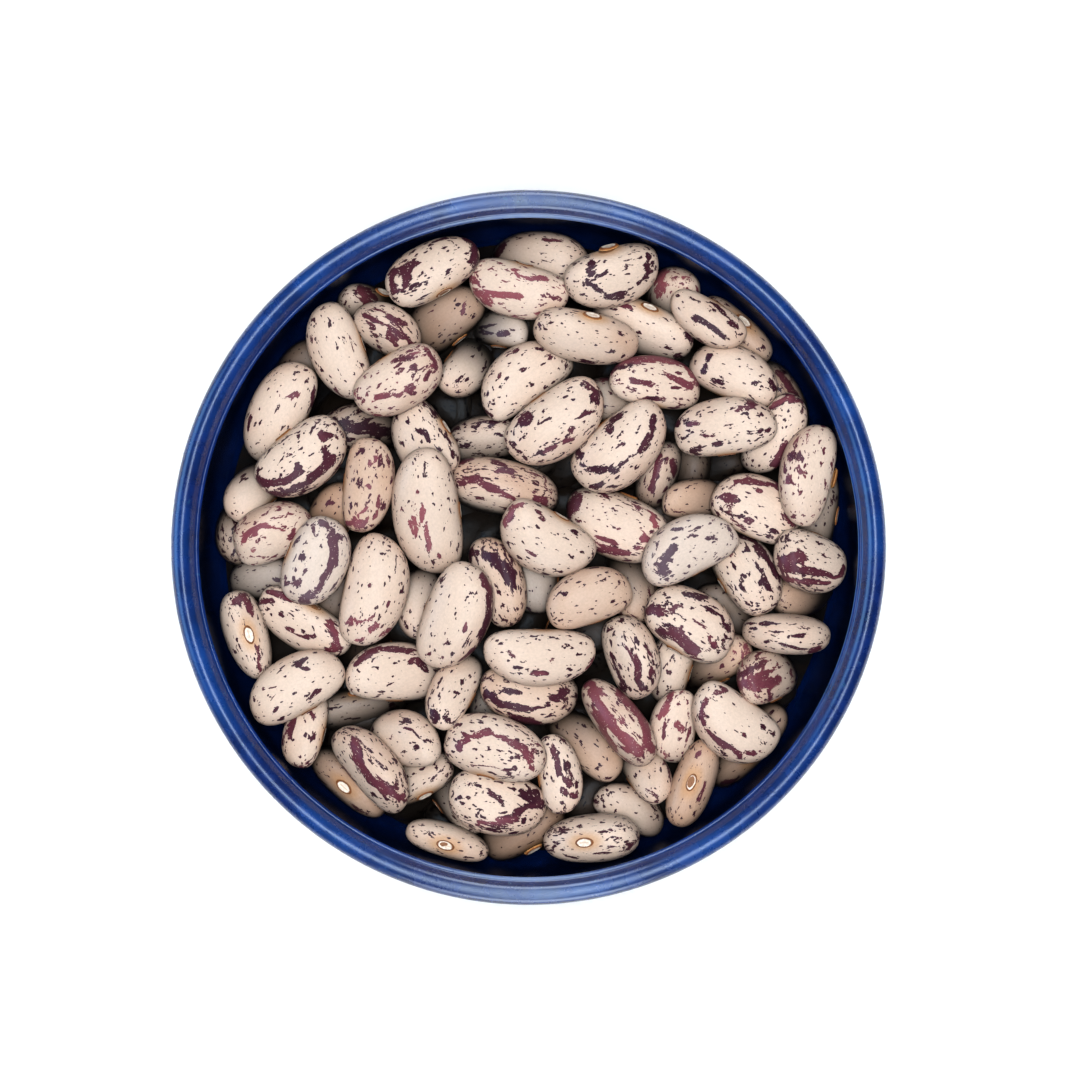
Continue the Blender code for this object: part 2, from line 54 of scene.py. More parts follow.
# Bowl, in millimetres: the lip's roll, the ledge under it, the inside and the foot
LIP_ROUND = 1.5
LIP_START = 150
LIP_STEPS = 21
LEDGE = [(46.45, 43.4), (46.22, 43.95), (46.15, 44.25), (46.3, 44.36), (46.5, 44.38), (46.65, 44.4),
         (46.8, 44.55)]
INNER_RADIUS = 46.6
INNER_TOP = 42.6
INNER_FLOOR = 7.2
INNER_SHARES = (1.0, 0.998, 0.985, 0.95, 0.88, 0.76, 0.58, 0.35, 0.15, 0.0)
OUTER_BOTTOM = 0.5
INNER_POWER = 2.8
OUTER_POWER = 2.3
OUTER_START = 0.03
FLANK_STEPS = 30
FLOOR_EASE = 1.3
FOOT_BEVEL = 0.5
FOOT_CORNER = 0.15
RECESS_HEIGHT = 2.6
RECESS_CORNERS = ((0.4, 0.5), (1.2, 0.0))
AROUND = 240
SHARP_ANGLE = 50
MERGED = 0.001

# Heap: how far one layer of beans lies under the next, the gap to the wall, and what lies below
LAYER_STEP = 2.5
WALL_GAP = 0.1
BELOW_DROP = 9.0
BELOW_SPACING = 7.6
BELOW_JITTER = 1.2
BELOW_ROWS = np.arange(-6, 7)
BELOW_EDGE = 7.0
BELOW_LENGTHS = (12, 14)
BELOW_BREADTHS = (7, 8)
BELOW_ROLLS = (-50, 50)
BELOW_LIFTS = (-15, 15)
BELOW_BEND = 0.2
BELOW_LOOKS = ("tan", "brown", "mauve", "specks")
BELOW_SINK = (1.5, 3.5)
ROW_SHARE = 0.87
CORE_DROP = 12.0
CORE_RADII = np.linspace(0, 38, 8)
CORE_SIDE_STEPS = 14

# Beans: forms shared by all of them, as shares of a bean's own half width
THICKNESS_SHARE = 0.72
BLUNTNESS = 2.35
BEND_CENTRE = 0.35
WOBBLE = 0.07
BEAN_SUBDIVISIONS = 4
UNEVEN = 0.012
UNEVEN_WAVES = 1.7

# Balls that stand for a bean while it settles: their places along it and to its two sides
BALLS_ALONG = np.array([-0.8, -0.45, -0.45, -0.15, -0.15, 0.15, 0.15, 0.45, 0.45, 0.8])
BALLS_BESIDE = np.array([0, -1, 1, -1, 1, -1, 1, -1, 1, 0])
TIP_FULLNESS = 1.35

# The beans were measured from the camera's place, as if all at one height; lower ones lie further out
SEEN_HEIGHT = 39.0
SEEN_DISTANCE = 387.0
SEEN_FROM = np.array([1.6, 1.74])

# Settling: how firmly a bean keeps its place, and how deep neighbours press into each other
SETTLE_STEPS = 260
SETTLE_SPREAD = 2.5
SPREAD_SHARE = 0.6
SINK = 0.08
SINK_LATE = 0.03
STAY = 0.1
SLIDE = np.array([0.2, 0.2, 1.0])
TURN_EASE = 20.0
RIGHTING = np.array([0.01, 0.01, 0.05])
APART_SHARE = 0.45
INWARD_SHARE = 0.6
TINY_TURN = 0.000000001
PRESS = 0.1

# The eye on a bean's hollow side: half length and half breadth, and the rise of its dark ring
EYE_HALF_LENGTH = 1.15
EYE_HALF_BREADTH = 0.6
EYE_RISE = 0.11
EYE_REACH = 1.35
EYE_RING_BREADTH = 0.22
EYE_LIFT = 0.03
EYE_TUCK = 0.25
EYE_EDGE = 0.95
EYE_RINGS = 5
EYE_SIDES = 20
NO_EYE = 9.0

# How a bean's skin is marked: amount of marks, their tone from rose to plum, and ground from cream to tan
LOOKS = {
    "plain": (0.05, 0.50, 0.10),
    "pale": (0.28, 0.75, 0.05),
    "specks": (0.46, 0.90, 0.22),
    "rosy": (0.58, 0.15, 0.30),
    "maroon": (0.58, 0.50, 0.35),
    "crimson": (0.62, 0.30, 0.45),
    "plum": (0.62, 0.88, 0.25),
    "dark": (0.72, 0.95, 0.50),
    "grey": (0.40, 0.80, 0.00),
    "yellow": (0.30, 0.90, 0.45),
    "tan": (0.25, 0.70, 0.75),
    "ruddy": (0.50, 0.40, 0.85),
    "brown": (0.30, 0.70, 1.00),
    "mauve": (0.35, 0.60, 0.55),
}

# Kinds of beans, each made as one piece, with the looks that belong to it
KINDS = {
    "beans_pale": ("plain", "pale", "grey"),
    "beans_speckled": ("specks", "yellow"),
    "beans_streaked": ("plum", "rosy", "maroon", "crimson"),
    "beans_dark": ("tan", "mauve", "dark", "brown", "ruddy"),
}

# Random spread of a bean's tone and ground and of its place in the patterns, and the draws' seeds
TONE_SPREAD = 0.12
TINT_SPREAD = 0.1
GRAIN_SPREAD = 300
WOBBLE_SEED = 7
SKIN_SEED = 21
BELOW_SEED = 5

# Each bean that shows: centre, turn, length, breadth seen from above, roll (eye upwards), lift of its
# +X end, how many layers down it lies, and its look; millimetres and degrees
Bean = namedtuple("Bean", "name x y turn length across roll lift layer bend look")
LAYOUT = [
    Bean("1", -26.7, 27.7, 107, 14.9, 7.8, 0, 0, 1.0, 0.25, "pale"),
    Bean("2", -35.4, 19.2, 65, 15.8, 8.3, 0, 0, 1.0, 0.12, "pale"),
    Bean("2b", -34.0, 25.6, 60, 12.0, 7.0, 0, 0, 2.6, 0.2, "tan"),
    Bean("3", -32.2, 12.6, 217, 14.6, 9.2, 0, 0, 0.0, 0.18, "plum"),
    Bean("4", -23.0, 34.8, 140, 11.5, 6.8, 0, 25, 2.0, 0.2, "maroon"),
    Bean("5", -20.3, 30.8, -35, 10.8, 6.2, -70, 15, 1.0, 0.2, "maroon"),
    Bean("6", -13.6, 39.5, 28, 14.4, 8.0, 15, 0, 0.0, 0.15, "plum"),
    Bean("7", 1.8, 41.0, -6, 14.6, 8.0, 0, 0, 1.3, 0.2, "specks"),
    Bean("8", -1.3, 36.6, 170, 14.6, 7.8, 0, 0, 1.0, 0.2, "rosy"),
    Bean("9", 12.1, 39.3, 202, 14.0, 8.0, 30, 0, 0.0, 0.2, "specks"),
    Bean("10", -3.8, 30.9, -10, 9.0, 5.4, 0, 20, 2.0, 0.2, "grey"),
    Bean("11", -11.9, 32.3, 35, 12.5, 8.0, 0, 0, 2.0, 0.2, "tan"),
    Bean("12", -18.5, 23.5, 213, 13.6, 8.3, 0, 0, 0.0, 0.12, "rosy"),
    Bean("13", -8.9, 25.4, 235, 10.5, 6.5, 0, 25, 2.0, 0.2, "pale"),
    Bean("14", -0.8, 23.9, 36, 14.6, 8.3, 0, 0, 1.0, 0.38, "pale"),
    Bean("15", 3.9, 17.7, 215, 15.8, 9.2, 0, 0, 0.0, 0.16, "specks"),
    Bean("16", 13.0, 14.3, 220, 15.8, 9.3, 0, 0, 0.1, 0.22, "specks"),
    Bean("17", 8.1, 29.9, 163, 15.5, 7.2, 35, 0, 0.0, 0.15, "yellow"),
    Bean("18", 16.3, 31.3, 156, 15.3, 7.5, 40, 0, 1.0, 0.15, "pale"),
    Bean("19", 20.9, 35.9, 70, 10.6, 7.6, 0, 0, 2.0, 0.2, "rosy"),
    Bean("20", 25.2, 32.1, 146, 12.0, 6.0, 0, 0, 1.0, 0.2, "yellow"),
    Bean("21", 29.9, 31.3, 134, 12.8, 6.0, 40, 0, 1.3, 0.2, "tan"),
    Bean("22", 17.9, 23.3, -5, 13.6, 7.3, 0, 0, 1.0, 0.2, "crimson"),
    Bean("23", 29.2, 24.6, -28, 13.4, 7.6, 0, 0, 1.0, 0.2, "specks"),
    Bean("24", 36.8, 21.8, -55, 12.5, 7.0, -40, 0, 2.0, 0.2, "mauve"),
    Bean("25", 27.6, 17.0, 8, 14.9, 8.2, 0, 0, 0.0, 0.12, "specks"),
    Bean("26", 35.0, 16.0, 237, 13.3, 7.0, 0, 0, 1.0, 0.2, "plum"),
    Bean("27", 40.3, 10.6, 73, 14.4, 7.6, 0, 0, 0.0, 0.2, "rosy"),
    Bean("28", 40.5, 5.0, 80, 13.0, 7.4, 0, 0, 2.0, 0.2, "specks"),
    Bean("29", 32.3, 5.5, -22, 13.5, 8.8, 0, 0, 1.0, 0.2, "maroon"),
    Bean("30", 23.7, 6.7, 0, 11.0, 6.0, 0, 0, 2.0, 0.2, "tan"),
    Bean("31", 25.0, 11.5, 15, 13.0, 7.4, 0, 0, 3.0, 0.2, "tan"),
    Bean("32", 18.6, 10.1, 68, 10.8, 5.6, -80, 0, 2.0, 0.2, "maroon"),
    Bean("33", 12.5, 3.2, 156, 15.3, 9.5, 0, 0, 1.0, 0.12, "maroon"),
    Bean("34", 2.6, 1.1, 149, 14.3, 8.9, 0, 0, 0.0, 0.3, "pale"),
    Bean("35", -3.8, 8.7, -22, 16.6, 7.8, -75, 0, 1.0, 0.1, "maroon"),
    Bean("36", -14.2, 5.0, 94, 19.2, 9.8, 0, 0, 0.5, 0.2, "pale"),
    Bean("37", -14.8, 15.0, 125, 12.5, 8.5, 0, 0, 1.0, 0.2, "specks"),
    Bean("38", -9.4, 18.8, -25, 13.0, 7.4, 0, 0, 3.0, 0.2, "mauve"),
    Bean("39", -6.5, 15.0, 15, 12.0, 7.0, 0, 0, 2.0, 0.2, "plum"),
    Bean("40", -22.9, 8.8, 263, 13.8, 7.2, 0, 0, 0.0, 0.2, "ruddy"),
    Bean("41", -24.2, 16.8, 5, 12.0, 7.2, 0, 0, 2.0, 0.2, "dark"),
    Bean("42", -28.5, 8.0, 40, 12.0, 7.0, 0, 0, 3.0, 0.2, "dark"),
    Bean("43", -27.9, 4.6, 60, 11.0, 6.6, 0, 0, 2.0, 0.2, "brown"),
    Bean("44", -36.1, 2.1, 15, 12.0, 8.2, 0, 0, 1.0, 0.2, "rosy"),
    Bean("45", -30.2, -1.9, 251, 12.9, 8.8, 0, 0, 0.0, 0.12, "grey"),
    Bean("46", -41.8, 3.2, 95, 12.6, 6.6, -45, 0, 2.0, 0.2, "dark"),
    Bean("47", -32.2, -10.8, 152, 15.0, 7.0, 25, 0, 1.0, 0.2, "specks"),
    Bean("48", -37.5, -4.4, 0, 10.5, 6.4, 0, 0, 2.0, 0.2, "grey"),
    Bean("49", -40.2, -12.3, 102, 13.2, 6.8, 60, 0, 1.0, 0.2, "specks"),
    Bean("50", -35.0, -14.5, 20, 12.5, 7.4, 0, 0, 3.0, 0.2, "tan"),
    Bean("51", -33.1, -19.8, 28, 14.4, 8.4, 0, 0, 0.0, 0.14, "pale"),
    Bean("52", -22.0, -6.2, 258, 16.2, 9.0, 0, 0, 0.0, 0.26, "pale"),
    Bean("53", -10.4, -9.8, 246, 16.0, 9.3, 0, 0, 0.2, 0.18, "pale"),
    Bean("54", -4.2, -4.9, -72, 13.6, 7.5, 0, 0, 1.0, 0.2, "dark"),
    Bean("55", -7.6, 2.2, 30, 12.0, 7.0, 0, 0, 3.0, 0.2, "tan"),
    Bean("56", 1.0, -3.8, 80, 12.0, 7.0, 0, 0, 2.0, 0.2, "grey"),
    Bean("57", 0.3, -9.0, 60, 12.0, 7.0, 0, 0, 3.0, 0.2, "brown"),
    Bean("58", -15.5, -8.1, 80, 10.5, 6.4, 0, 0, 2.0, 0.2, "pale"),
    Bean("59", -18.1, -10.5, -40, 12.0, 7.0, 0, 0, 3.0, 0.2, "mauve"),
    Bean("60", -19.0, -17.9, -4, 15.0, 8.5, 0, 0, 1.0, 0.26, "pale"),
    Bean("61", -24.0, -22.8, 190, 13.5, 6.5, 35, 0, 1.6, 0.2, "yellow"),
    Bean("62", -10.8, -20.3, 60, 12.6, 6.6, 0, 0, 0.8, 0.2, "specks"),
    Bean("63", -31.9, -26.2, 70, 11.0, 5.8, 0, 0, 1.0, 0.2, "maroon"),
    Bean("64", -17.6, -27.4, 5, 12.8, 8.2, 0, 0, 1.2, 0.3, "pale"),
    Bean("65", -4.9, -28.6, -17, 15.0, 9.0, 0, 0, 0.0, 0.12, "maroon"),
    Bean("66", -22.0, -31.0, -52, 15.2, 6.6, -60, 0, 0.9, 0.3, "plum"),
    Bean("67", -25.6, -34.0, -42, 13.4, 5.8, 75, 0, 1.7, 0.2, "tan"),
    Bean("68", -16.5, -37.3, -20, 11.0, 6.6, 0, 0, 3.0, 0.2, "tan"),
    Bean("69", -11.8, -43.0, -19, 12.2, 4.8, 85, 0, 0.7, 0.2, "yellow"),
    Bean("70", -15.7, -32.6, 30, 11.0, 6.6, 0, 0, 2.0, 0.2, "specks"),
    Bean("71", -10.0, -35.0, -40, 14.0, 8.0, 0, 0, 2.0, 0.2, "plain"),
    Bean("72", -4.5, -35.8, 165, 14.2, 9.0, 0, 0, 1.0, 0.12, "plum"),
    Bean("73", -1.1, -41.0, 37, 13.2, 8.0, 0, 0, 1.8, 0.2, "tan"),
    Bean("74", -10.1, -39.1, -35, 11.0, 6.6, 0, 0, 3.0, 0.2, "dark"),
    Bean("75", 4.2, -32.2, -80, 11.6, 6.3, 0, 0, 0.5, 0.2, "plum"),
    Bean("76", 8.3, -28.0, -38, 13.5, 7.0, 0, 0, 1.7, 0.2, "tan"),
    Bean("77", 12.7, -24.6, -56, 14.8, 6.5, -70, 0, 0.4, 0.2, "crimson"),
    Bean("78", 16.8, -31.8, -50, 12.0, 6.0, 0, 0, 1.4, 0.2, "mauve"),
    Bean("79", 9.8, -35.0, 45, 12.0, 7.0, 0, 0, 2.3, 0.2, "brown"),
    Bean("80", 14.3, -37.3, -15, 11.0, 6.2, 0, 0, 2.0, 0.2, "specks"),
    Bean("81", 9.4, -41.8, 2, 13.7, 6.8, 88, 0, 0.0, 0.2, "specks"),
    Bean("82", 14.6, -15.5, -71, 12.4, 7.2, -50, 0, 0.0, 0.2, "plum"),
    Bean("83", 0.0, -20.8, 170, 14.0, 8.0, 0, 0, 1.0, 0.2, "dark"),
    Bean("83b", -4.5, -21.2, 60, 12.0, 7.0, 0, 0, 2.2, 0.2, "grey"),
    Bean("84", 1.6, -15.3, 182, 16.3, 7.8, 20, 0, 0.2, 0.3, "specks"),
    Bean("85", 8.4, -7.1, 17, 12.8, 7.8, 0, 0, 0.0, 0.22, "tan"),
    Bean("86", 14.6, -5.5, -75, 12.0, 7.0, 0, 0, 2.0, 0.2, "mauve"),
    Bean("87", 9.3, -12.3, 20, 12.0, 7.0, 0, 0, 3.0, 0.2, "mauve"),
    Bean("88", 22.6, -0.2, 27, 14.4, 8.2, 0, 0, 0.0, 0.32, "grey"),
    Bean("89", 31.0, -3.8, -65, 13.8, 8.5, 0, 0, 1.0, 0.14, "plum"),
    Bean("90", 40.2, -2.0, 165, 11.8, 8.6, 0, 0, 0.7, 0.2, "plum"),
    Bean("91", 39.8, -6.2, 190, 11.6, 7.0, 0, 0, 2.0, 0.2, "tan"),
    Bean("92", 36.6, -12.3, -10, 12.9, 5.9, -80, 0, 0.0, 0.2, "yellow"),
    Bean("93", 22.8, -10.8, -30, 13.5, 9.3, 0, 0, 0.0, 0.12, "plum"),
    Bean("94", 20.2, -17.1, 70, 10.5, 6.4, 0, 40, 1.2, 0.2, "specks"),
    Bean("95", 26.5, -16.2, 15, 12.5, 7.2, 0, 0, 1.6, 0.2, "ruddy"),
    Bean("96", 33.5, -18.3, 22, 12.6, 7.6, 0, 0, 1.0, 0.2, "crimson"),
    Bean("97", 28.8, -24.6, 141, 14.2, 9.0, 0, 0, 0.1, 0.3, "pale"),
    Bean("98", 20.7, -25.4, 79, 11.2, 6.6, 0, 0, 1.0, 0.2, "rosy"),
    Bean("99", 23.4, -33.7, 257, 13.2, 6.6, 60, 0, 1.0, 0.2, "tan"),
    Bean("100", 32.1, -29.2, 59, 15.2, 7.0, 45, 0, 1.7, 0.2, "tan"),
    Bean("101", 18.8, -36.0, -30, 12.0, 7.0, 0, 0, 3.0, 0.2, "specks"),
    Bean("103", -38.8, 7.9, 60, 11.0, 6.6, 0, 0, 2.0, 0.2, "plain"),
    Bean("105", -27.3, -5.7, 70, 12.0, 7.0, 0, 0, 2.6, 0.2, "mauve"),
    Bean("106", 5.4, 11.8, 30, 12.5, 7.2, 0, 0, 3.0, 0.2, "brown"),
    Bean("107", 12.5, 20.5, -15, 11.5, 7.0, 0, 0, 2.0, 0.2, "crimson"),
    Bean("108", 28.3, -9.5, -45, 12.0, 7.0, 0, 0, 2.2, 0.2, "mauve"),
]

# Large marks on the beans, as strokes: breadth, tone, then the x and y of each place that they run
# through, in millimetres seen from above
MARKS = {
    "2": [(1.2, 0.35, -35, 21.4, -34.8, 20.8, -32, 21.4), (0.5, 0.8, -39.7, 16.8, -39.5, 18.2),
        (0.4, 0.8, -30.2, 22.7, -30.6, 19.5)],
    "3": [(0.9, 0.75, -38.2, 9.5, -37, 8.9, -34.3, 9.2, -32.4, 10.2),
        (0.9, 0.75, -37, 7.4, -34.3, 7.65, -31.1, 9, -29.9, 10.4, -28.3, 11.8, -27.4, 12.4),
        (0.8, 0.8, -33.4, 12.9, -32, 10.6), (1.0, 0.8, -32, 12.7, -31.6, 13.1),
        (0.9, 0.8, -28.8, 14, -28.3, 12.9), (0.8, 0.6, -29.2, 16.1, -28.9, 15.4),
        (0.6, 0.8, -28.1, 16.1, -26.7, 15)],
    "4": [(1.2, 0.4, -24, 36.6, -22.7, 33.9), (0.6, 0.5, -22.9, 36.9, -21.8, 35.5),
        (0.9, 0.8, -20.6, 34.4, -19.9, 33.9)],
    "5": [(0.5, 0.6, -23.6, 32.8, -19.9, 31.2, -16.7, 28.9), (0.5, 0.7, -22, 30.5, -21, 27.7),
        (0.5, 0.6, -19.7, 32.5, -17.4, 31.4), (1.0, 0.5, -19.5, 30, -19, 28.9)],
    "6": [(0.9, 0.7, -18.8, 39.4, -19.7, 38.2, -19, 36.4), (0.7, 0.8, -16, 41.4, -17.2, 39.6),
        (1.0, 0.7, -18.6, 38.7, -17, 39.4), (1.1, 0.65, -17, 39.8, -17.4, 36.9),
        (0.8, 0.7, -17.2, 40, -15.4, 40.5), (0.7, 0.75, -9.4, 44.2, -7.6, 43.3, -7.6, 41.4, -8, 40.5),
        (0.5, 0.8, -13.1, 43.4, -11.9, 43.9)],
    "7": [(0.9, 0.7, -4.8, 41.7, -3.4, 43.3), (0.9, 0.9, 1.1, 40.5, 2, 40.6),
        (0.6, 0.9, 3, 40.6, 3.9, 40.8), (0.4, 0.6, 1.8, 43.7, 4.3, 43.5)],
    "8": [(1.1, 0.2, -7.5, 36, -5.7, 35.7, -1.1, 35.2), (0.8, 0.3, -6.2, 35, -5.5, 34.4),
        (0.9, 0.2, -2.1, 38.9, -0.9, 37.8, 0.7, 38, 0.2, 37.3, 2, 38), (0.7, 0.2, 0, 38.2, 0, 36.6),
        (0.7, 0.3, -8.2, 38, -7.1, 37.1)],
    "9": [(1, 0.9, 8.9, 40.3, 8.6, 37.6, 10.5, 35.7, 13.5, 36), (0.7, 0.9, 17.1, 41.5, 16.7, 38.8),
        (0.7, 0.9, 15.7, 37.6, 17.5, 39.2)],
    "10": [(0.4, 0.9, -7.1, 31.2, -4.3, 31.7), (0.7, 0.7, -6.4, 30.5, -5.3, 30.1),
        (1.0, 0.75, -4.1, 29.8, -3, 30.5)],
    "11": [(0.8, 0.35, -9.4, 30, -9.4, 32.5, -8.9, 34.4), (0.5, 0.5, -11.2, 29.8, -11.1, 31.2),
        (0.7, 0.5, -14.4, 33, -13.8, 33.4)],
    "12": [(0.8, 0.3, -21.5, 21.2, -18, 21.4), (0.9, 0.4, -16.9, 21.6, -16.3, 23),
        (0.5, 0.2, -18.7, 23.6, -17.7, 22.4), (0.4, 0.7, -18.6, 26.3, -16.5, 26.9),
        (0.7, 0.6, -16.3, 25.5, -15.9, 24.5), (0.4, 0.5, -14.2, 28, -13.1, 25.7, -13.1, 24.5),
        (0.6, 0.6, -14.4, 23.4, -14, 24.7)],
    "13": [(0.4, 0.9, -9.8, 23.6, -8.8, 24.4), (0.6, 0.9, -8.7, 28.4, -7.7, 28.2),
        (0.7, 0.9, -7.1, 28, -6.6, 28.7)],
    "14": [(1.2, 0.75, -1.1, 25, -0.5, 25.2), (0.6, 0.9, -0.2, 23.3, 0.5, 22.9),
        (0.7, 0.5, -4.3, 23.9, -3.7, 24), (0.5, 0.7, -3, 27.4, -1.4, 28), (0.8, 0.6, 2.5, 27.3, 3.4, 26.6),
        (0.4, 0.9, -7.2, 22, -6.6, 19.7, -5.3, 18.4)],
    "15": [(1.6, 0.75, -1.1, 18.2, 0.2, 17.7), (0.8, 0.8, 1.6, 17.5, 2.8, 17.9),
        (0.8, 0.4, 2.1, 13.4, 6.6, 15.5), (0.5, 0.8, -3.2, 15.4, -0.2, 12.2),
        (0.7, 0.75, 7.7, 18.6, 9.8, 19.5, 9.7, 20.9), (0.9, 0.65, 7.9, 23.4, 9.5, 21.8),
        (0.6, 0.6, 5.9, 16.7, 6.8, 15.9)],
    "16": [(0.9, 0.8, 17.4, 18.4, 17.3, 16.3, 15.7, 13.6, 12.7, 11.5, 10, 10.9, 7.9, 11.3, 6.8, 13.4),
        (0.8, 0.8, 11.7, 18, 13.1, 18.7), (0.8, 0.8, 10.8, 17, 11.7, 16.7),
        (0.7, 0.8, 12.3, 14.2, 13.3, 14.9), (0.5, 0.8, 9, 8.6, 10.5, 8.9)],
    "17": [(0.5, 0.8, 1.4, 31.4, 1.8, 30.2), (0.5, 0.9, 7.2, 26.6, 9.4, 26), (0.5, 0.8, 12, 26, 13.4, 27)],
    "18": [(0.6, 0.9, 22.6, 30.1, 23.8, 28.9), (0.8, 0.45, 10.6, 34.2, 12.6, 34.6, 14.6, 34),
        (0.5, 0.9, 19.5, 28.2, 21.6, 27)],
    "19": [(1.5, 0.1, 18.9, 39.6, 18.7, 36.7)],
    "20": [(0.8, 0.8, 23.8, 34.7, 26.2, 34.2, 27.7, 32.5, 29.4, 30.8),
        (1.1, 0.95, 23.3, 32.5, 25.2, 31.3, 27.4, 29.4)],
    "22": [(1.0, 0.35, 12.6, 26.2, 18.7, 26.9, 22.3, 25.9, 24.3, 23.5), (0.8, 0.4, 19.4, 24.2, 22.8, 23),
        (0.6, 0.95, 11.6, 25.2, 14.5, 25.7), (0.5, 0.95, 16.2, 21, 18.4, 21),
        (0.8, 0.6, 14.5, 23.5, 17.2, 23)],
    "23": [(0.6, 0.9, 24.7, 24.7, 25.7, 27.1), (0.5, 0.9, 26.2, 23.7, 27.4, 22.8),
        (0.8, 0.95, 31.6, 22.8, 32.8, 23.7), (0.6, 0.95, 34, 23.5, 35, 22.3)],
    "24": [(0.8, 0.35, 36.2, 25.2, 39.4, 19.6)],
    "25": [(1.0, 0.55, 28.5, 19.1, 31.7, 19.8, 31.4, 20.5), (0.5, 0.95, 31, 16.1, 32.1, 16, 33.5, 16.6),
        (0.9, 0.45, 22.7, 17.4, 24.1, 17.5), (0.7, 0.6, 24.6, 15.9, 26.4, 15.7),
        (0.5, 0.8, 26, 14.7, 27.3, 14.7), (0.8, 0.95, 20.7, 18.4, 20.9, 17.3),
        (0.5, 0.8, 27.8, 17.3, 29.1, 17.1), (0.6, 0.95, 23, 13.8, 23.9, 13.5)],
    "26": [(1.2, 0.55, 34.9, 11.8, 36.3, 14.7), (0.6, 0.3, 34.4, 20.2, 37.2, 21.4),
        (0.5, 0.5, 36.7, 20.7, 38.6, 20.7)],
    "27": [(1.0, 0.8, 37.4, 13.1, 38.1, 12.9), (0.7, 0.4, 38.5, 12.7, 39.1, 13.1),
        (0.7, 0.5, 38, 11.5, 38.3, 11.1), (0.7, 0.4, 39, 10.6, 39.3, 10.2),
        (0.9, 0.6, 36.7, 9.7, 37.4, 9.5), (0.7, 0.5, 37.6, 9, 38.1, 8.1)],
    "29": [(1.1, 0.6, 27.8, 7.2, 29.4, 6.7), (1.0, 0.6, 30.8, 3.8, 31.4, 3.7),
        (0.5, 0.5, 29.2, 9.4, 31.7, 9.3, 35.4, 8.6), (1.3, 0.35, 35.4, 8.6, 37, 7.5, 37.6, 5.6, 37.4, 3.6),
        (0.5, 0.35, 31.5, 7.6, 32.8, 8.1, 32.8, 7.2)],
    "32": [(0.8, 0.5, 18.2, 12.7, 17.3, 8.1), (0.8, 0.5, 20.3, 12.2, 20.5, 10.4),
        (0.7, 0.6, 18.9, 7.4, 19.6, 8.6)],
    "33": [(1.5, 0.6, 5.4, 4.9, 6.8, 7), (0.8, 0.4, 9.2, 1.3, 12.9, 0.4),
        (0.6, 0.35, 9.8, -0.3, 13.6, -0.8, 16.6, -0.3), (0.6, 0.5, 9.5, 4.2, 11.1, 4.3),
        (0.7, 0.4, 12.4, 2, 13.2, 3.1), (0.9, 0.2, 15.9, 2.4, 16.6, 0.8), (0.8, 0.1, 17.4, 4.5, 18, 2.9)],
    "34": [(0.9, 0.2, -3.3, 3.3, -2.1, 5.6, -0.7, 6.1), (0.9, 0.5, -0.7, -0.6, 1.4, -1.3),
        (0.5, 0.5, 1.4, 5.3, 2, 4)],
    "35": [(0.8, 0.45, -6.4, 9, -1.4, 6.5), (0.6, 0.5, -9.9, 9.2, -7.3, 9.8),
        (0.5, 0.5, -11, 11.8, -8, 12.7), (0.5, 0.6, -5.3, 12.2, -3, 11.5),
        (0.5, 0.5, -5.5, 10.8, -2.6, 10.9), (0.8, 0.4, 0.9, 7.1, 2.3, 6.4)],
    "36": [(0.9, 0.1, -14.8, 5.8, -14.3, 1.7, -13.7, -0.6), (1.6, 0.1, -15.8, 4.7, -15.9, 2.2),
        (0.6, 0.15, -18, 5.1, -16.6, 3.1), (0.7, 0.05, -16.4, 6.7, -15.3, 8.8),
        (0.5, 0.1, -16.7, 10.4, -16.1, 11.6), (0.5, 0.2, -14, -0.8, -11.7, -1.7),
        (0.9, 0.4, -16, -2.9, -12.6, -4.2)],
    "37": [(0.5, 0.95, -16.5, 17.1, -14.4, 16, -14.2, 15.2), (0.6, 0.95, -15.5, 14.8, -12.8, 15),
        (0.4, 0.9, -11.9, 17.3, -10.5, 12.7), (0.7, 0.95, -13.3, 19.1, -12.6, 18.4)],
    "40": [(0.6, 0.25, -24.2, 4.2, -22.9, 5.6), (1.0, 0.3, -25.6, 3.5, -23.8, 3.3),
        (0.7, 0.35, -23.3, 3.3, -21.7, 4.5), (0.4, 0.4, -20.8, 7.4, -21.7, 4.7),
        (0.7, 0.3, -23.1, 8.3, -22.2, 8.8), (0.6, 0.3, -22.2, 11.8, -21.2, 12.9)],
    "41": [(2.4, 0.9, -26.7, 17.5, -21.2, 16.6)],
    "43": [(1.0, 0.6, -28.3, 6, -27.6, 6.3)],
    "44": [(0.8, 0.25, -40.2, 1, -38.9, 2.4, -37, 3.1, -34.3, 2.4), (0.5, 0.25, -38.6, 1.6, -37.5, 1.5),
        (0.8, 0.5, -33.4, 1.5, -32.9, 2.6)],
    "45": [(1.4, 0.6, -27.7, 1, -27.2, -0.6, -27.9, -3.3, -29.7, -6.2, -32, -7.6),
        (0.8, 0.7, -29.3, 3.8, -26.3, 1.3), (0.5, 0.7, -30.2, 3.5, -29.8, 1.3),
        (0.7, 0.7, -32, -3.8, -30.6, -2.9), (0.5, 0.95, -33.1, 0.6, -32, 1.3),
        (0.6, 0.5, -34.5, -4.2, -33.4, -5.4, -31.8, -5)],
    "46": [(1.3, 0.85, -43, 6.3, -41.6, 6.3), (1.4, 0.9, -42.5, 4.2, -42.1, 3.5),
        (0.6, 0.9, -42.3, 2.4, -40.7, -2.2)],
    "47": [(1.2, 0.4, -28.3, -10.3, -27.2, -12.3, -27.2, -14.2, -28.6, -14.7),
        (0.9, 0.7, -32.4, -12.8, -30.2, -12.5), (0.8, 0.6, -34.2, -11.5, -33.4, -11.8),
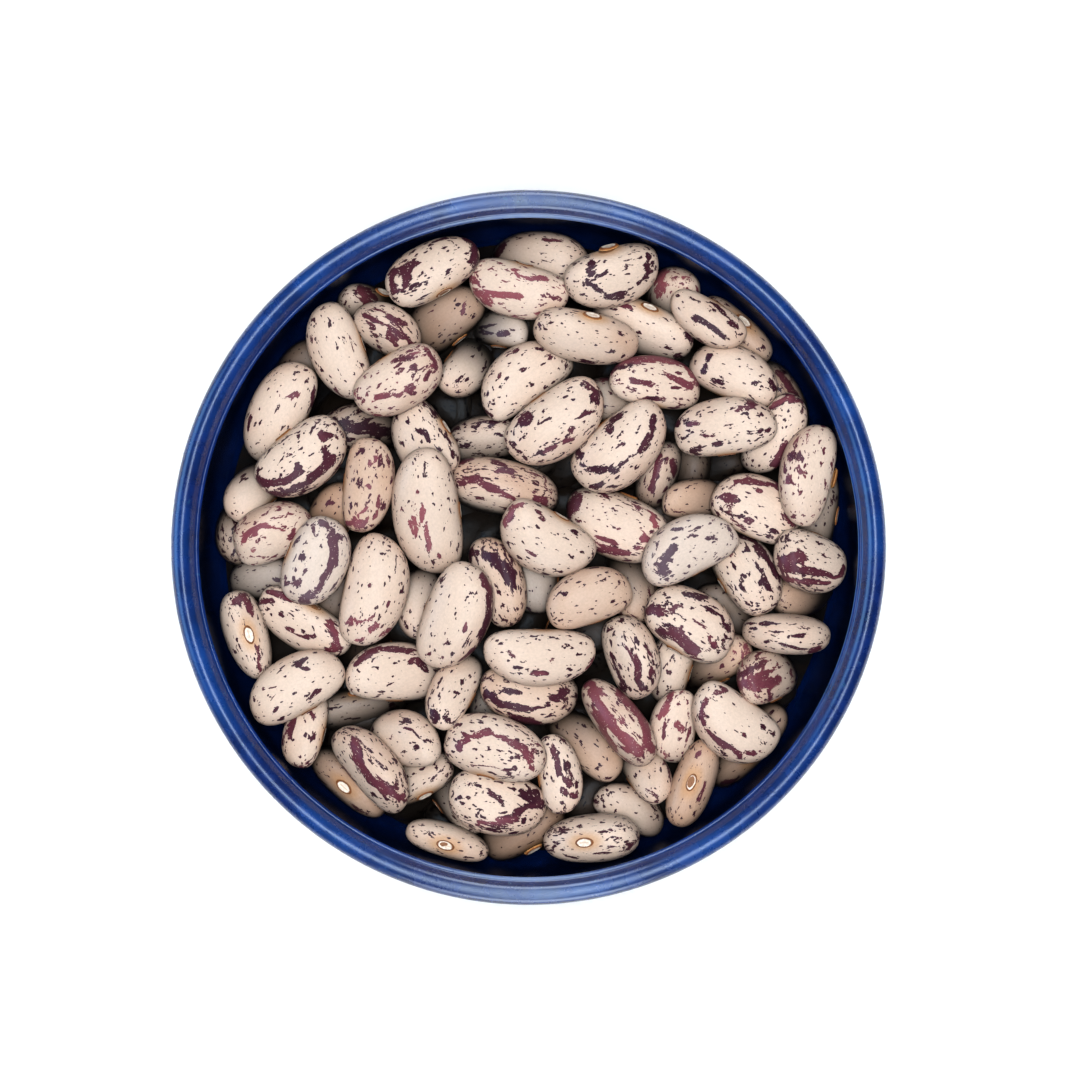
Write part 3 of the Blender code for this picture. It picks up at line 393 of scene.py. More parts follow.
        (0.6, 0.9, -35.7, -10.3, -34.8, -9.4), (0.4, 0.7, -38.4, -7.8, -36.1, -7.2),
        (0.7, 0.5, -37, -6.2, -32.4, -7.5)],
    "48": [(0.8, 0.9, -37.3, -5.4, -36.6, -5.5), (0.6, 0.8, -35.9, -4.5, -35, -4.6)],
    "49": [(0.5, 0.5, -38.4, -13.5, -37.9, -17.4), (0.9, 0.5, -42.5, -8, -40, -6.6),
        (0.9, 0.4, -39.8, -7.5, -38.9, -9.4)],
    "51": [(1.0, 0.85, -33.8, -16.8, -31.1, -15.8), (1.0, 0.8, -32.2, -17.1, -30.8, -17.1),
        (0.7, 0.75, -37.7, -19.9, -35.7, -19.7), (0.8, 0.75, -36.1, -21.5, -35.2, -20.6),
        (0.8, 0.8, -36.3, -23.5, -35.4, -22.6), (0.4, 0.9, -29.9, -19.2, -29.8, -20.6, -30.8, -22)],
    "52": [(0.8, 0.4, -23.1, -4.9, -21.8, -5.8), (0.5, 0.35, -22.8, -8, -22.4, -6.6),
        (0.6, 0.4, -19.9, -8.4, -19.6, -7.6), (1.1, 0.15, -25.4, -10.6, -22.4, -10.3),
        (0.8, 0.2, -22.2, -11.7, -20.8, -11), (0.7, 0.3, -20.8, -12.6, -19.7, -11.7),
        (0.7, 0.05, -24.4, -13, -22.7, -12.8)],
    "53": [(1.0, 0.6, -6.6, -3.9, -5.3, -6), (0.8, 0.8, -5.3, -6, -5.4, -9.6, -7.1, -12.8),
        (0.6, 0.6, -7.6, -14.3, -9.4, -16), (0.6, 0.35, -8.9, -11.4, -8.3, -10.3),
        (0.5, 0.5, -8.9, -8.7, -7.1, -8.4), (0.6, 0.4, -11.7, -13.7, -11.3, -12.6),
        (0.5, 0.6, -14.4, -15.1, -11.5, -15.6)],
    "54": [(1.5, 0.9, -6.2, -1.1, -4.4, -2.3, -3, -4.1), (0.6, 0.95, -2.1, -3.4, -1.8, -6.2),
        (0.6, 0.9, -8, -0.7, -4.4, -0.9)],
    "60": [(1.0, 0.65, -24.4, -16.4, -22.2, -14.6, -19.5, -14.5, -16.2, -14.6),
        (1.2, 0.6, -17.2, -16, -15.6, -15.8), (1.0, 0.85, -15.6, -15.8, -14.2, -17.6),
        (0.7, 0.95, -21.3, -19.9, -20.4, -20.4), (0.5, 0.8, -18.1, -17.1, -17, -16.2)],
    "61": [(0.4, 0.9, -26.1, -24.4, -24, -24.2), (0.7, 0.7, -19.2, -22, -19.6, -23.8)],
    "62": [(0.9, 0.95, -13.5, -22.9, -13.1, -24.3), (0.7, 0.95, -10.7, -20.1, -9.4, -21.1),
        (0.5, 0.95, -11.1, -17.9, -11.2, -19)],
    "63": [(1.1, 0.55, -33.2, -23.8, -33.8, -27), (1.2, 0.6, -31.5, -23.1, -30.6, -24)],
    "64": [(0.6, 0.95, -18, -24.6, -16.7, -24.4), (0.4, 0.7, -18, -25.5, -16.3, -25.5),
        (0.8, 0.6, -19.8, -27, -19, -26.6), (0.6, 0.6, -20.1, -28.7, -19.2, -28.7),
        (0.7, 0.9, -15.6, -28.6, -15.5, -27.9), (0.5, 0.9, -15.8, -26.3, -14.4, -27.2)],
    "65": [
        (0.9, 0.38, -9.9, -28.2, -8.5, -26.8, -5.7, -26.1, -3.5, -26.8, -0.9, -28.4, 0.2, -29.8, 0.6, -31.5),
        (0.5, 0.6, -6.2, -25.5, -4.1, -25.7), (0.5, 0.6, -10.5, -26.3, -9.2, -26.3)],
    "66": [(1.3, 0.4, -24.4, -27.3, -23.9, -29.6, -22.2, -31.8, -19.6, -34.1, -17.6, -35),
        (0.8, 0.3, -26.4, -31.3, -25, -32.7)],
    "72": [(0.9, 0.8, -5.5, -34.3, -3.6, -35.8), (0.9, 0.85, -0.9, -34.2, 0.5, -35.4, 1.3, -34.4),
        (0.8, 0.65, -1.8, -37, 1.9, -35.8), (0.7, 0.35, -7.2, -38.4, -2.1, -38.1)],
    "75": [(1.0, 0.7, 3.6, -28.7, 4.2, -32.1), (0.8, 0.6, 4.7, -34.4, 6.7, -35),
        (0.9, 0.6, 5.2, -32.9, 5.6, -33.5)],
    "76": [(0.5, 0.9, 6, -25.5, 8.6, -29.5)],
    "77": [(1.3, 0.25, 8.5, -19.2, 9.8, -21.7, 11, -24), (1.0, 0.25, 9.2, -22.9, 10.1, -24.7),
        (1.0, 0.3, 12.6, -19.9, 16, -24, 17.2, -28.4), (1.2, 0.25, 11.9, -25.2, 13, -26.3),
        (1.0, 0.25, 10.3, -25.9, 11.9, -28.4), (1.3, 0.25, 13.5, -27, 15.1, -29)],
    "82": [(0.8, 0.9, 11.5, -14.9, 12.3, -16.7), (1.2, 0.85, 12.3, -16.7, 13.5, -19.7),
        (0.7, 0.6, 13.3, -13, 14.9, -16, 15.3, -18.1), (0.9, 0.7, 15.3, -18.5, 15.8, -19.9),
        (0.7, 0.95, 11, -11.7, 11.7, -11.9), (0.5, 0.7, 16.8, -18.1, 17.4, -17.4)],
    "83": [(0.9, 0.85, -6, -20.4, -4.1, -22, 0.2, -22.9, 2.5, -22.2), (0.8, 0.9, -3.7, -20.1, -1.1, -20.4),
        (1.3, 0.75, 3.4, -21.3, 5.3, -20.4), (1.0, 0.8, -2.1, -24, 1.1, -24.7)],
    "84": [(0.4, 0.95, -1.1, -15, 0, -14.4), (0.5, 0.6, -3.1, -14.6, -1.8, -16),
        (0.9, 0.35, 3.1, -15.8, 4.1, -15.8), (0.7, 0.3, 1, -17.8, 2.5, -17.9),
        (0.5, 0.35, 8.2, -17.4, 9.5, -15.8)],
    "88": [(1.6, 0.85, 20.2, -0.2, 18.9, -2.8), (1.0, 0.8, 18.9, -2.8, 19.6, -4.6),
        (0.9, 0.9, 20.5, 0.6, 24.2, 2.1), (0.5, 0.95, 20.1, 2.4, 21.9, 2.6),
        (0.5, 0.95, 28.3, 2.9, 28.5, 1.7), (0.8, 0.4, 25.8, 3.8, 26.4, 3.4)],
    "89": [(0.9, 0.9, 29.6, 2, 31.2, 1.5, 33.1, -0.6, 34.4, -2.7, 35.3, -4.2),
        (0.8, 0.9, 31.5, -0.4, 31.9, -1.1), (0.7, 0.9, 32.1, -2.5, 32.5, -3.1),
        (0.9, 0.9, 33, -4.3, 33.8, -5.6), (0.9, 0.35, 28, -0.2, 28.9, -1.3)],
    "90": [(1.6, 0.5, 36, -2, 38.5, -1.3), (1.0, 0.6, 36.2, -3.1, 39.2, -3.1, 42.6, -3.9),
        (0.5, 0.4, 35.8, -4.4, 38.5, -4.9, 42.6, -5, 44.7, -4, 45, -2.7), (0.4, 0.4, 41.7, -1, 42.6, -2)],
    "92": [(0.4, 0.95, 35.8, -13.6, 38.7, -14.4), (0.4, 0.9, 37, -12.5, 38.5, -12.5),
        (0.9, 0.6, 39.9, -14.6, 41.1, -14.3), (0.4, 0.9, 30.9, -10.8, 35.3, -10.6)],
    "93": [(1.9, 0.6, 20.8, -11.9, 23.3, -14.9), (0.9, 0.5, 23.1, -10, 24.9, -11.7, 26.1, -13.7),
        (0.5, 0.9, 22.3, -6.6, 25.2, -7.1), (0.5, 0.85, 23.6, -7.6, 27, -9.6, 28.4, -11.9),
        (0.9, 0.6, 16.9, -8.9, 19.5, -9.2), (0.8, 0.5, 20.6, -8.5, 21.3, -8.2),
        (0.4, 0.9, 18.3, -11.9, 19.1, -12.8)],
    "94": [(1.0, 0.8, 19.5, -17.6, 19.9, -17.8), (0.5, 0.95, 19.7, -19.7, 21, -19.4)],
    "96": [(0.9, 0.4, 29.4, -19.3, 32.9, -17.6, 35, -16.6), (0.9, 0.35, 31.4, -19.5, 34.8, -18.3),
        (0.9, 0.4, 36, -16.1, 38.2, -16.3, 37.2, -17.8), (0.7, 0.7, 28, -18.5, 32.9, -15.9),
        (0.8, 0.5, 33.4, -20.2, 33.6, -21.2)],
    "97": [(0.8, 0.5, 27.5, -19.9, 25.1, -21, 24.2, -22.9, 24.8, -25.3, 26.8, -27.3),
        (1.1, 0.5, 26.8, -27.3, 29.9, -29, 32.4, -29), (0.6, 0.5, 32.4, -29, 34.1, -27.8),
        (0.7, 0.6, 30.2, -24.9, 30.4, -26.6), (0.4, 0.95, 32.9, -25.2, 34.1, -25.8)],
    "98": [(0.8, 0.2, 18.3, -24.3, 19.5, -22.4), (0.5, 0.5, 19.7, -22, 20.1, -20.6),
        (1.0, 0.2, 20.8, -25, 21.7, -25.9), (0.6, 0.4, 22, -28.2, 22.9, -25.9)],
    "99": [(0.8, 0.4, 23.8, -29.2, 25, -28.8), (0.5, 0.5, 24.8, -32.2, 24.8, -33.9, 23.8, -36),
        (0.6, 0.35, 22.9, -32.4, 23.1, -34.1)],
    "100": [(0.9, 0.9, 29.2, -31.4, 29.9, -30.5), (0.8, 0.95, 27.3, -32.9, 28, -32.7),
        (0.7, 0.45, 28.5, -34.6, 30.4, -34.6)],
}

# Marks: how strongly they show, how much calmer the rest of such a bean is, how deep below its centre
# they reach, and how soft their edge is
MARK_STRENGTH = 0.36
MARK_CALM = 0.06
MARK_DEPTH = 1.0
MARK_SOFTNESS = 0.06

# Grain of each pattern on the skin, for each millimetre along a bean, across it and through it
BLOTCH_GRAIN = (0.23, 0.58, 0.85)
DASH_GRAIN = (0.50, 0.95, 1.5)
SPECK_GRAIN = (1.05, 1.9, 2.6)
RAGGED_GRAIN = (2.6, 3.4, 4.6)
FIELD_GRAIN = (0.14, 0.14, 0.2)
RELIEF_GRAIN = (0.5, 0.7, 0.9)

# Painted shade: beans darken from this depth under the heap's top, over this reach, and on their flanks; the
# last are the near-black colours of the core, also painted shade
SHADE_START = 3.4
SHADE_REACH = 4.8
FLANK_SHADE = 1.5
SHADE_COLOURS = ((0.002, 0.001, 0.001, 1), (0.007, 0.004, 0.003, 1))

# Bands of the glaze by height, the inner wall's by radius too, how much that wall is darkened as painted
# shade, and the relief of each finish; metres but for the share
THIN_GLAZE = (0.0435, 0.0462)
LIP_BAND = (0.0440, 0.0452)
WALL_FOOT = (0.0300, 0.0360)
WALL_TOP = (0.0425, 0.0438)
WALL_REACH = (0.0465, 0.0468)
WALL_SHADE_SHARE = 0.7
GLAZE_RELIEF = 0.00002
SKIN_RELIEF = 0.00012
EYE_RELIEF = 0.00004
CORE_RELIEF = 0.003

# Studio: each light's place, size, energy and colour, and the rays that don't see it
CARD = (1.1, 0.9)
PALE_BLUE = (0.8, 0.9, 1.0)
LIGHTS = (
    ("light_strip", (0.0, 0.0, 1.1), (0.22, 3.0), 12.0, (0.68, 0.84, 1.0), ()),
    ("light_fill", (0.0, 0.0, 1.2), (0.5, 0.5), 14.7, (1.0, 0.975, 0.95), ("visible_glossy",)),
    ("light_left", (-1.2, 0.1, 0.6), CARD, 9.0, (0.35, 0.65, 1.0), ("visible_diffuse",)),
    ("light_back", (0.0, 1.6, 0.45), CARD, 15.0, PALE_BLUE, ("visible_diffuse",)),
    ("light_front", (0.0, -1.6, 0.45), CARD, 15.0, PALE_BLUE, ("visible_diffuse",)),
)
AIM_HEIGHT = 0.04
FLOOR_HALF = 1.5
WORLD_COLOUR = (0.9, 0.95, 1.0, 1.0)
WORLD_STRENGTH = 0.08
GAMMA = 0.85
SENSOR_WIDTH = 36.0
CLIP_START = 0.01


def arc(centre, radius, start, end, count):
    """Points of a round stretch of a profile, by angles in degrees from +X towards +Z."""
    angles = np.radians(np.linspace(start, end, count))
    return [(centre[0] + radius * np.cos(a), centre[1] + radius * np.sin(a)) for a in angles]


def flank(radius, power, top, bottom, shares):
    """Points down a steep side that rounds into a flat bottom, at shares of its height."""
    drop = np.asarray(shares)
    reach = radius * (1 - drop ** power) ** (1 / power)
    return list(zip(reach, top - drop * (top - bottom)))


def inner_radius(height):
    """Radius of the bowl's inside at a height."""
    inside = flank(INNER_RADIUS, INNER_POWER, INNER_TOP, INNER_FLOOR, INNER_SHARES)
    radii, heights = np.array(inside).T
    return np.interp(height, heights, radii)


def heap_top(radius):
    """Height of the gently domed top of the heap."""
    sizes = bpy.context.scene.bean_bowl_sizes
    crest = (sizes.height - sizes.crest_drop) / MM
    fall = (sizes.edge_drop - sizes.crest_drop) / MM
    return crest - fall * (radius / INNER_RADIUS) ** 2


def rotations(axis, angles):
    """Rotation matrices by the given angles about one axis, or about an axis for each angle."""
    x, y, z = np.moveaxis(np.broadcast_to(axis, angles.shape + (3,)), -1, 0)
    c, s = np.cos(angles), np.sin(angles)
    flat = np.stack([c + x * x * (1 - c), x * y * (1 - c) - z * s, x * z * (1 - c) + y * s,
                     y * x * (1 - c) + z * s, c + y * y * (1 - c), y * z * (1 - c) - x * s,
                     z * x * (1 - c) - y * s, z * y * (1 - c) + x * s, c + z * z * (1 - c)], -1)
    return flat.reshape(angles.shape + (3, 3))


def bean_sizes(beans):
    """Length, width and thickness of each bean, from its length and its breadth seen from above."""
    roll = np.radians([bean.roll for bean in beans])
    seen = np.sqrt(np.cos(roll) ** 2 + (THICKNESS_SHARE * np.sin(roll)) ** 2)
    width = np.array([bean.across for bean in beans]) / seen
    return np.stack([[bean.length for bean in beans], width, THICKNESS_SHARE * width], 1)


def bean_balls(sizes, bends):
    """Balls that fill each bean, two abreast: centres in the bean's own frame, and radii."""
    along, beside = BALLS_ALONG, BALLS_BESIDE
    half_length, half_width, half_thickness = (sizes / 2).T[:, :, None]
    taper = (1 - np.abs(along) ** BLUNTNESS) ** (1 / BLUNTNESS)
    radius = half_thickness * taper
    tip = half_length * (1 - np.abs(along)) * TIP_FULLNESS
    radius = np.where(beside == 0, np.minimum(radius, tip), radius)
    across = beside * (half_width * taper - radius)
    across = across + half_width * bends[:, None] * (BEND_CENTRE - along ** 2)
    return np.stack([along * half_length, across, np.zeros_like(across)], -1), radius


def contacts(centres, balls, radii, reach):
    """Deepest meeting of each pair of beans that touch: indices, depth, direction and place."""
    apart = np.linalg.norm(centres[:, None] - centres[None], axis=2)
    one, other = np.nonzero(np.triu(apart < reach[:, None] + reach[None], 1))
    gap = balls[one][:, :, None] - balls[other][:, None]
    distance = np.linalg.norm(gap, axis=3)
    bite = radii[one][:, :, None] + radii[other][:, None] - PRESS - distance
    deepest = bite.reshape(len(one), -1).argmax(1)
    row = np.arange(len(one))
    ball, facing_ball = np.divmod(deepest, bite.shape[2])
    depth = bite[row, ball, facing_ball]
    direction = gap[row, ball, facing_ball] / distance[row, ball, facing_ball][:, None]
    place = balls[other, facing_ball] + direction * radii[other, facing_ball][:, None]
    touching = depth > 0
    return [part[touching] for part in (one, other, depth, direction, place)]


def laid_down(beans):
    """The roll of each bean, and its rotation as it was measured."""
    turn, roll, lift = np.radians([(bean.turn, bean.roll, bean.lift) for bean in beans]).T
    laid = rotations((0, 0, 1), turn) @ rotations((0, 1, 0), -lift) @ rotations((1, 0, 0), -roll)
    return roll, laid


def settled_beans(beans):
    """Centres and rotations of the beans once they are pushed apart and off the wall, though some
    neighbours still press into each other by up to 0.7 mm."""
    sizes = bean_sizes(beans)
    own_balls, radii = bean_balls(sizes, np.array([bean.bend for bean in beans]))
    seen = np.array([(bean.x, bean.y) for bean in beans])
    layer = np.array([bean.layer for bean in beans])
    roll, laid = laid_down(beans)
    facing = laid.copy()
    upright = np.hypot(sizes[:, 1] * np.sin(roll), sizes[:, 2] * np.cos(roll)) / 2
    highest = heap_top(np.hypot(*seen.T)) - upright
    deeper = (SEEN_HEIGHT - highest + layer * LAYER_STEP) / SEEN_DISTANCE
    home = seen + (seen - SEEN_FROM) * deeper[:, None]
    centres = np.column_stack([home, highest - layer * LAYER_STEP * SETTLE_SPREAD])
    reach = sizes[:, 0] / 2
    ease = TURN_EASE / (sizes[:, 0] ** 2 + sizes[:, 1] ** 2)
    everyone = np.arange(len(beans))
    for step in range(SETTLE_STEPS):
        progress = min(1.0, step / (SPREAD_SHARE * SETTLE_STEPS))
        spread = SETTLE_SPREAD + (1 - SETTLE_SPREAD) * progress
        pull = SINK if progress < 1 else SINK_LATE
        centres[:, 2] += pull * (highest - layer * LAYER_STEP * spread - centres[:, 2])
        centres[:, :2] += STAY * (home - centres[:, :2])
        balls = centres[:, None] + np.einsum("nij,nkj->nki", facing, own_balls)
        one, other, depth, direction, place = contacts(centres, balls, radii, reach)
        lever = np.cross(place - centres[one], direction)
        other_lever = np.cross(place - centres[other], direction)
        give = 2 * (direction ** 2 * SLIDE).sum(1)
        give += ease[one] * (lever ** 2).sum(1) + ease[other] * (other_lever ** 2).sum(1)
        push = (APART_SHARE * depth / give)[:, None]
        spin = np.cross(facing, laid, axis=1).sum(2) * RIGHTING
        np.add.at(centres, one, push * direction * SLIDE)
        np.add.at(centres, other, -push * direction * SLIDE)
        np.add.at(spin, one, push * ease[one][:, None] * lever)
        np.add.at(spin, other, -push * ease[other][:, None] * other_lever)
        out = np.hypot(balls[:, :, 0], balls[:, :, 1])
        beyond = out + radii + WALL_GAP - inner_radius(balls[:, :, 2])
        worst = beyond.argmax(1)
        ball = balls[everyone, worst]
        inward = ball * (-1, -1, 0) / out[everyone, worst][:, None]
        lever = np.cross(ball - centres, inward)
        push = INWARD_SHARE * np.maximum(beyond[everyone, worst], 0) / (1 + ease * (lever ** 2).sum(1))
        centres += push[:, None] * inward
        spin += (push * ease)[:, None] * lever
        angle = np.linalg.norm(spin, axis=1)
        axis = spin / np.maximum(angle, TINY_TURN)[:, None]
        facing = rotations(axis, angle) @ facing
        centres = np.round(centres, 6)
    return centres, facing, sizes


def bean_surface(directions, size, bend, taper):
    """Surface points of one bean in its own frame: length along X, its eye on the -Y side."""
    blunt = (np.abs(directions) ** BLUNTNESS).sum(1) ** (-1 / BLUNTNESS)
    along, beside, above = (directions * blunt[:, None]).T
    half_length, half_width, half_thickness = size / 2
    swell = 1 + taper * along
    width = half_width * (beside * swell + bend * (BEND_CENTRE - along ** 2))
    return np.stack([half_length * along, width, half_thickness * above * swell], 1)


def inside_wall(points):
    """The points of a bean moved inwards until all of them are clear of the bowl."""
    out = np.hypot(points[:, 0], points[:, 1])
    beyond = out - (inner_radius(points[:, 2]) - WALL_GAP / 2)
    worst = beyond.argmax()
    if beyond[worst] <= 0:
        return points
    return points - points[worst] * (1, 1, 0) / out[worst] * beyond[worst]


def even_ball(subdivisions):
    """Directions and triangles of the ball that beans are shaped from."""
    form = bmesh.new()
    bmesh.ops.create_icosphere(form, subdivisions=subdivisions, radius=1.0)
    directions = np.array([vertex.co for vertex in form.verts])
    triangles = np.array([[vertex.index for vertex in face.verts] for face in form.faces])
    form.free()
    return directions, triangles


def eye_disc(rings, sides):
    """Flat places and faces of the disc that eyes are shaped from, out to a radius of one."""
    form = bmesh.new()
    bmesh.ops.create_circle(form, cap_ends=True, cap_tris=True, segments=sides, radius=1.0)
    spokes = [edge for edge in form.edges if any(v.co.length < 0.5 for v in edge.verts)]
    bmesh.ops.subdivide_edges(form, edges=spokes, cuts=rings)
    bmesh.ops.triangulate(form, faces=form.faces)
    places = np.array([vertex.co for vertex in form.verts])
    triangles = np.array([[vertex.index for vertex in face.verts] for face in form.faces])
    form.free()
    return places, triangles


def joined_mesh(name, parts, triangles):
    """One object from many copies of a template: each part holds points and its own attributes."""
    count = len(parts[0]["points"])
    points = np.concatenate([part["points"] for part in parts]) * MM
    faces = np.concatenate([triangles + number * count for number in range(len(parts))])
    mesh = bpy.data.meshes.new(name)
    mesh.vertices.add(len(points))
    mesh.vertices.foreach_set("co", points.ravel())
    mesh.loops.add(faces.size)
    mesh.loops.foreach_set("vertex_index", faces.ravel())
    mesh.polygons.add(len(faces))
    mesh.polygons.foreach_set("loop_start", np.arange(0, faces.size, 3))
    mesh.update(calc_edges=True)
    for key in parts[0]:
        if key == "points":
            continue
        values = np.concatenate([part[key] for part in parts])
        layer = mesh.attributes.new(key, "FLOAT_VECTOR", "POINT")
        layer.data.foreach_set("vector", values.ravel())
    mesh.shade_smooth()
    return placed(name, mesh)


def placed(name, data):
    """An object for a finished mesh, light or camera, in the scene."""
    piece = bpy.data.objects.new(name, data)
    bpy.context.scene.collection.objects.link(piece)
    return piece


class Finish:
    """A material that is being wired up, with short ways to add and link its nodes."""

    def __init__(self, name, colour):
        self.material = bpy.data.materials.new(name)
        self.material.use_nodes = True
        self.material.diffuse_color = colour
        self.tree = self.material.node_tree
        self.surface = self.tree.nodes["Principled BSDF"]

    def node(self, kind, inputs, **settings):
        added = self.tree.nodes.new(kind)
        for setting, value in settings.items():
            setattr(added, setting, value)
        for socket, value in inputs.items():
            self.put(added.inputs[socket], value)
        return added

    def put(self, socket, value):
        if isinstance(value, bpy.types.NodeSocket):
            self.tree.links.new(value, socket)
        else:
            socket.default_value = value

    def surface_gets(self, **inputs):
        for name, value in inputs.items():
            self.put(self.surface.inputs[name.replace("_", " ")], value)

    def object_place(self):
        return self.node("ShaderNodeTexCoord", {}).outputs["Object"]

    def attribute(self, name):
        return self.node("ShaderNodeAttribute", {}, attribute_name=name).outputs["Vector"]

    def split(self, vector):
        return self.node("ShaderNodeSeparateXYZ", {0: vector}).outputs

    def scaled(self, vector, scale, offset=(0, 0, 0)):
        inputs = {"Vector": vector, "Scale": scale, "Location": offset}
        return self.node("ShaderNodeMapping", inputs).outputs[0]

    def noise(self, vector, scale, detail=2.0, roughness=0.5, distortion=0.0):
        inputs = {"Vector": vector, "Scale": scale, "Detail": detail, "Roughness": roughness,
                  "Distortion": distortion}
        return self.node("ShaderNodeTexNoise", inputs).outputs["Fac"]

    def cells(self, vector, scale):
        return self.node("ShaderNodeTexVoronoi", {"Vector": vector, "Scale": scale}).outputs[0]

    def math(self, operation, one, other):
        return self.node("ShaderNodeMath", {0: one, 1: other}, operation=operation).outputs[0]

    def sum(self, one, *others):
        for other in others:
            one = self.math("ADD", one, other)
        return one

    def less(self, one, other):
        return self.math("SUBTRACT", one, other)

    def times(self, one, other):
        return self.math("MULTIPLY", one, other)

    def most(self, one, other):
        return self.math("MAXIMUM", one, other)

    def swing(self, value, amount):
        return self.times(self.less(value, 0.5), amount)

    def step(self, value, low, high, start=0.0, end=1.0):
        inputs = {"Value": value, "From Min": low, "From Max": high, "To Min": start, "To Max": end}
        return self.node("ShaderNodeMapRange", inputs, interpolation_type="SMOOTHSTEP").outputs[0]

    def fall(self, value, low, high):
        return self.step(value, low, high, 1.0, 0.0)

    def blend(self, share, one, other):
        return self.node("ShaderNodeMix", {0: share, 6: one, 7: other}, data_type="RGBA").outputs[2]

    def ramp(self, value, stops):
        added = self.node("ShaderNodeValToRGB", {0: value})
        elements = added.color_ramp.elements
        while len(elements) < len(stops):
            elements.new(1.0)
        for element, (position, colour) in zip(elements, stops):
            element.position = position
            element.color = colour
        return added.outputs[0]

    def bump(self, height, distance):
        inputs = {"Height": height, "Distance": distance, "Strength": 1.0}
        return self.node("ShaderNodeBump", inputs).outputs[0]


def glaze_finish(colours):
    """Deep cobalt glaze, thinner and brighter where it breaks over the lip, with pinholes and flecks, and
    painted shade on the inner wall under the ledge.
    """
    finish = Finish("cobalt_glaze", colours.glaze_deep)
    place = finish.object_place()
    height = finish.split(place)[2]
    drift = finish.noise(place, 55.0, 3.0, 0.6, 0.6)
    clouds = finish.noise(place, 240.0, 4.0, 0.65, 0.3)
    thin = finish.times(finish.step(height, *THIN_GLAZE), finish.step(drift, 0.35, 0.7))
    body = finish.blend(finish.step(clouds, 0.05, 0.85), colours.glaze_deep, colours.glaze_mid)
    body = finish.blend(finish.times(thin, 0.55), body, colours.glaze_thin)
    flecks = finish.step(finish.noise(place, 900.0, 2.0, 0.6), 0.66, 0.74)
    body = finish.blend(finish.times(flecks, 0.12), body, colours.glaze_fleck)

    # Painted shade: the inner wall between the beans and the ledge is darkened and made to reflect less
    across = finish.node("ShaderNodeVectorMath", {0: finish.scaled(place, (1, 1, 0))}, operation="LENGTH")
    inside = finish.times(finish.fall(across.outputs["Value"], *WALL_REACH),
                          finish.step(height, *WALL_FOOT))
    inside = finish.times(inside, finish.fall(height, *WALL_TOP))
    body = finish.blend(finish.times(inside, WALL_SHADE_SHARE), body, colours.glaze_wall_shade)
    reflection = finish.less(0.95, finish.times(inside, WALL_SHADE_SHARE))

    pits = finish.step(finish.cells(place, 620.0), 0.03, 0.16)
    ripple = finish.sum(finish.times(drift, 3.0), finish.times(finish.noise(place, 420.0, 2.0), 0.6))
    relief = finish.sum(ripple, finish.times(pits, 0.5))
    lip = finish.step(height, *LIP_BAND)
    roughness = finish.sum(finish.step(clouds, 0.3, 0.8, 0.16, 0.24), finish.times(lip, 0.08))
    finish.surface_gets(Base_Color=body, Roughness=roughness, Normal=finish.bump(relief, GLAZE_RELIEF),
                        IOR=1.6, Specular_IOR_Level=reflection)
    return finish.material


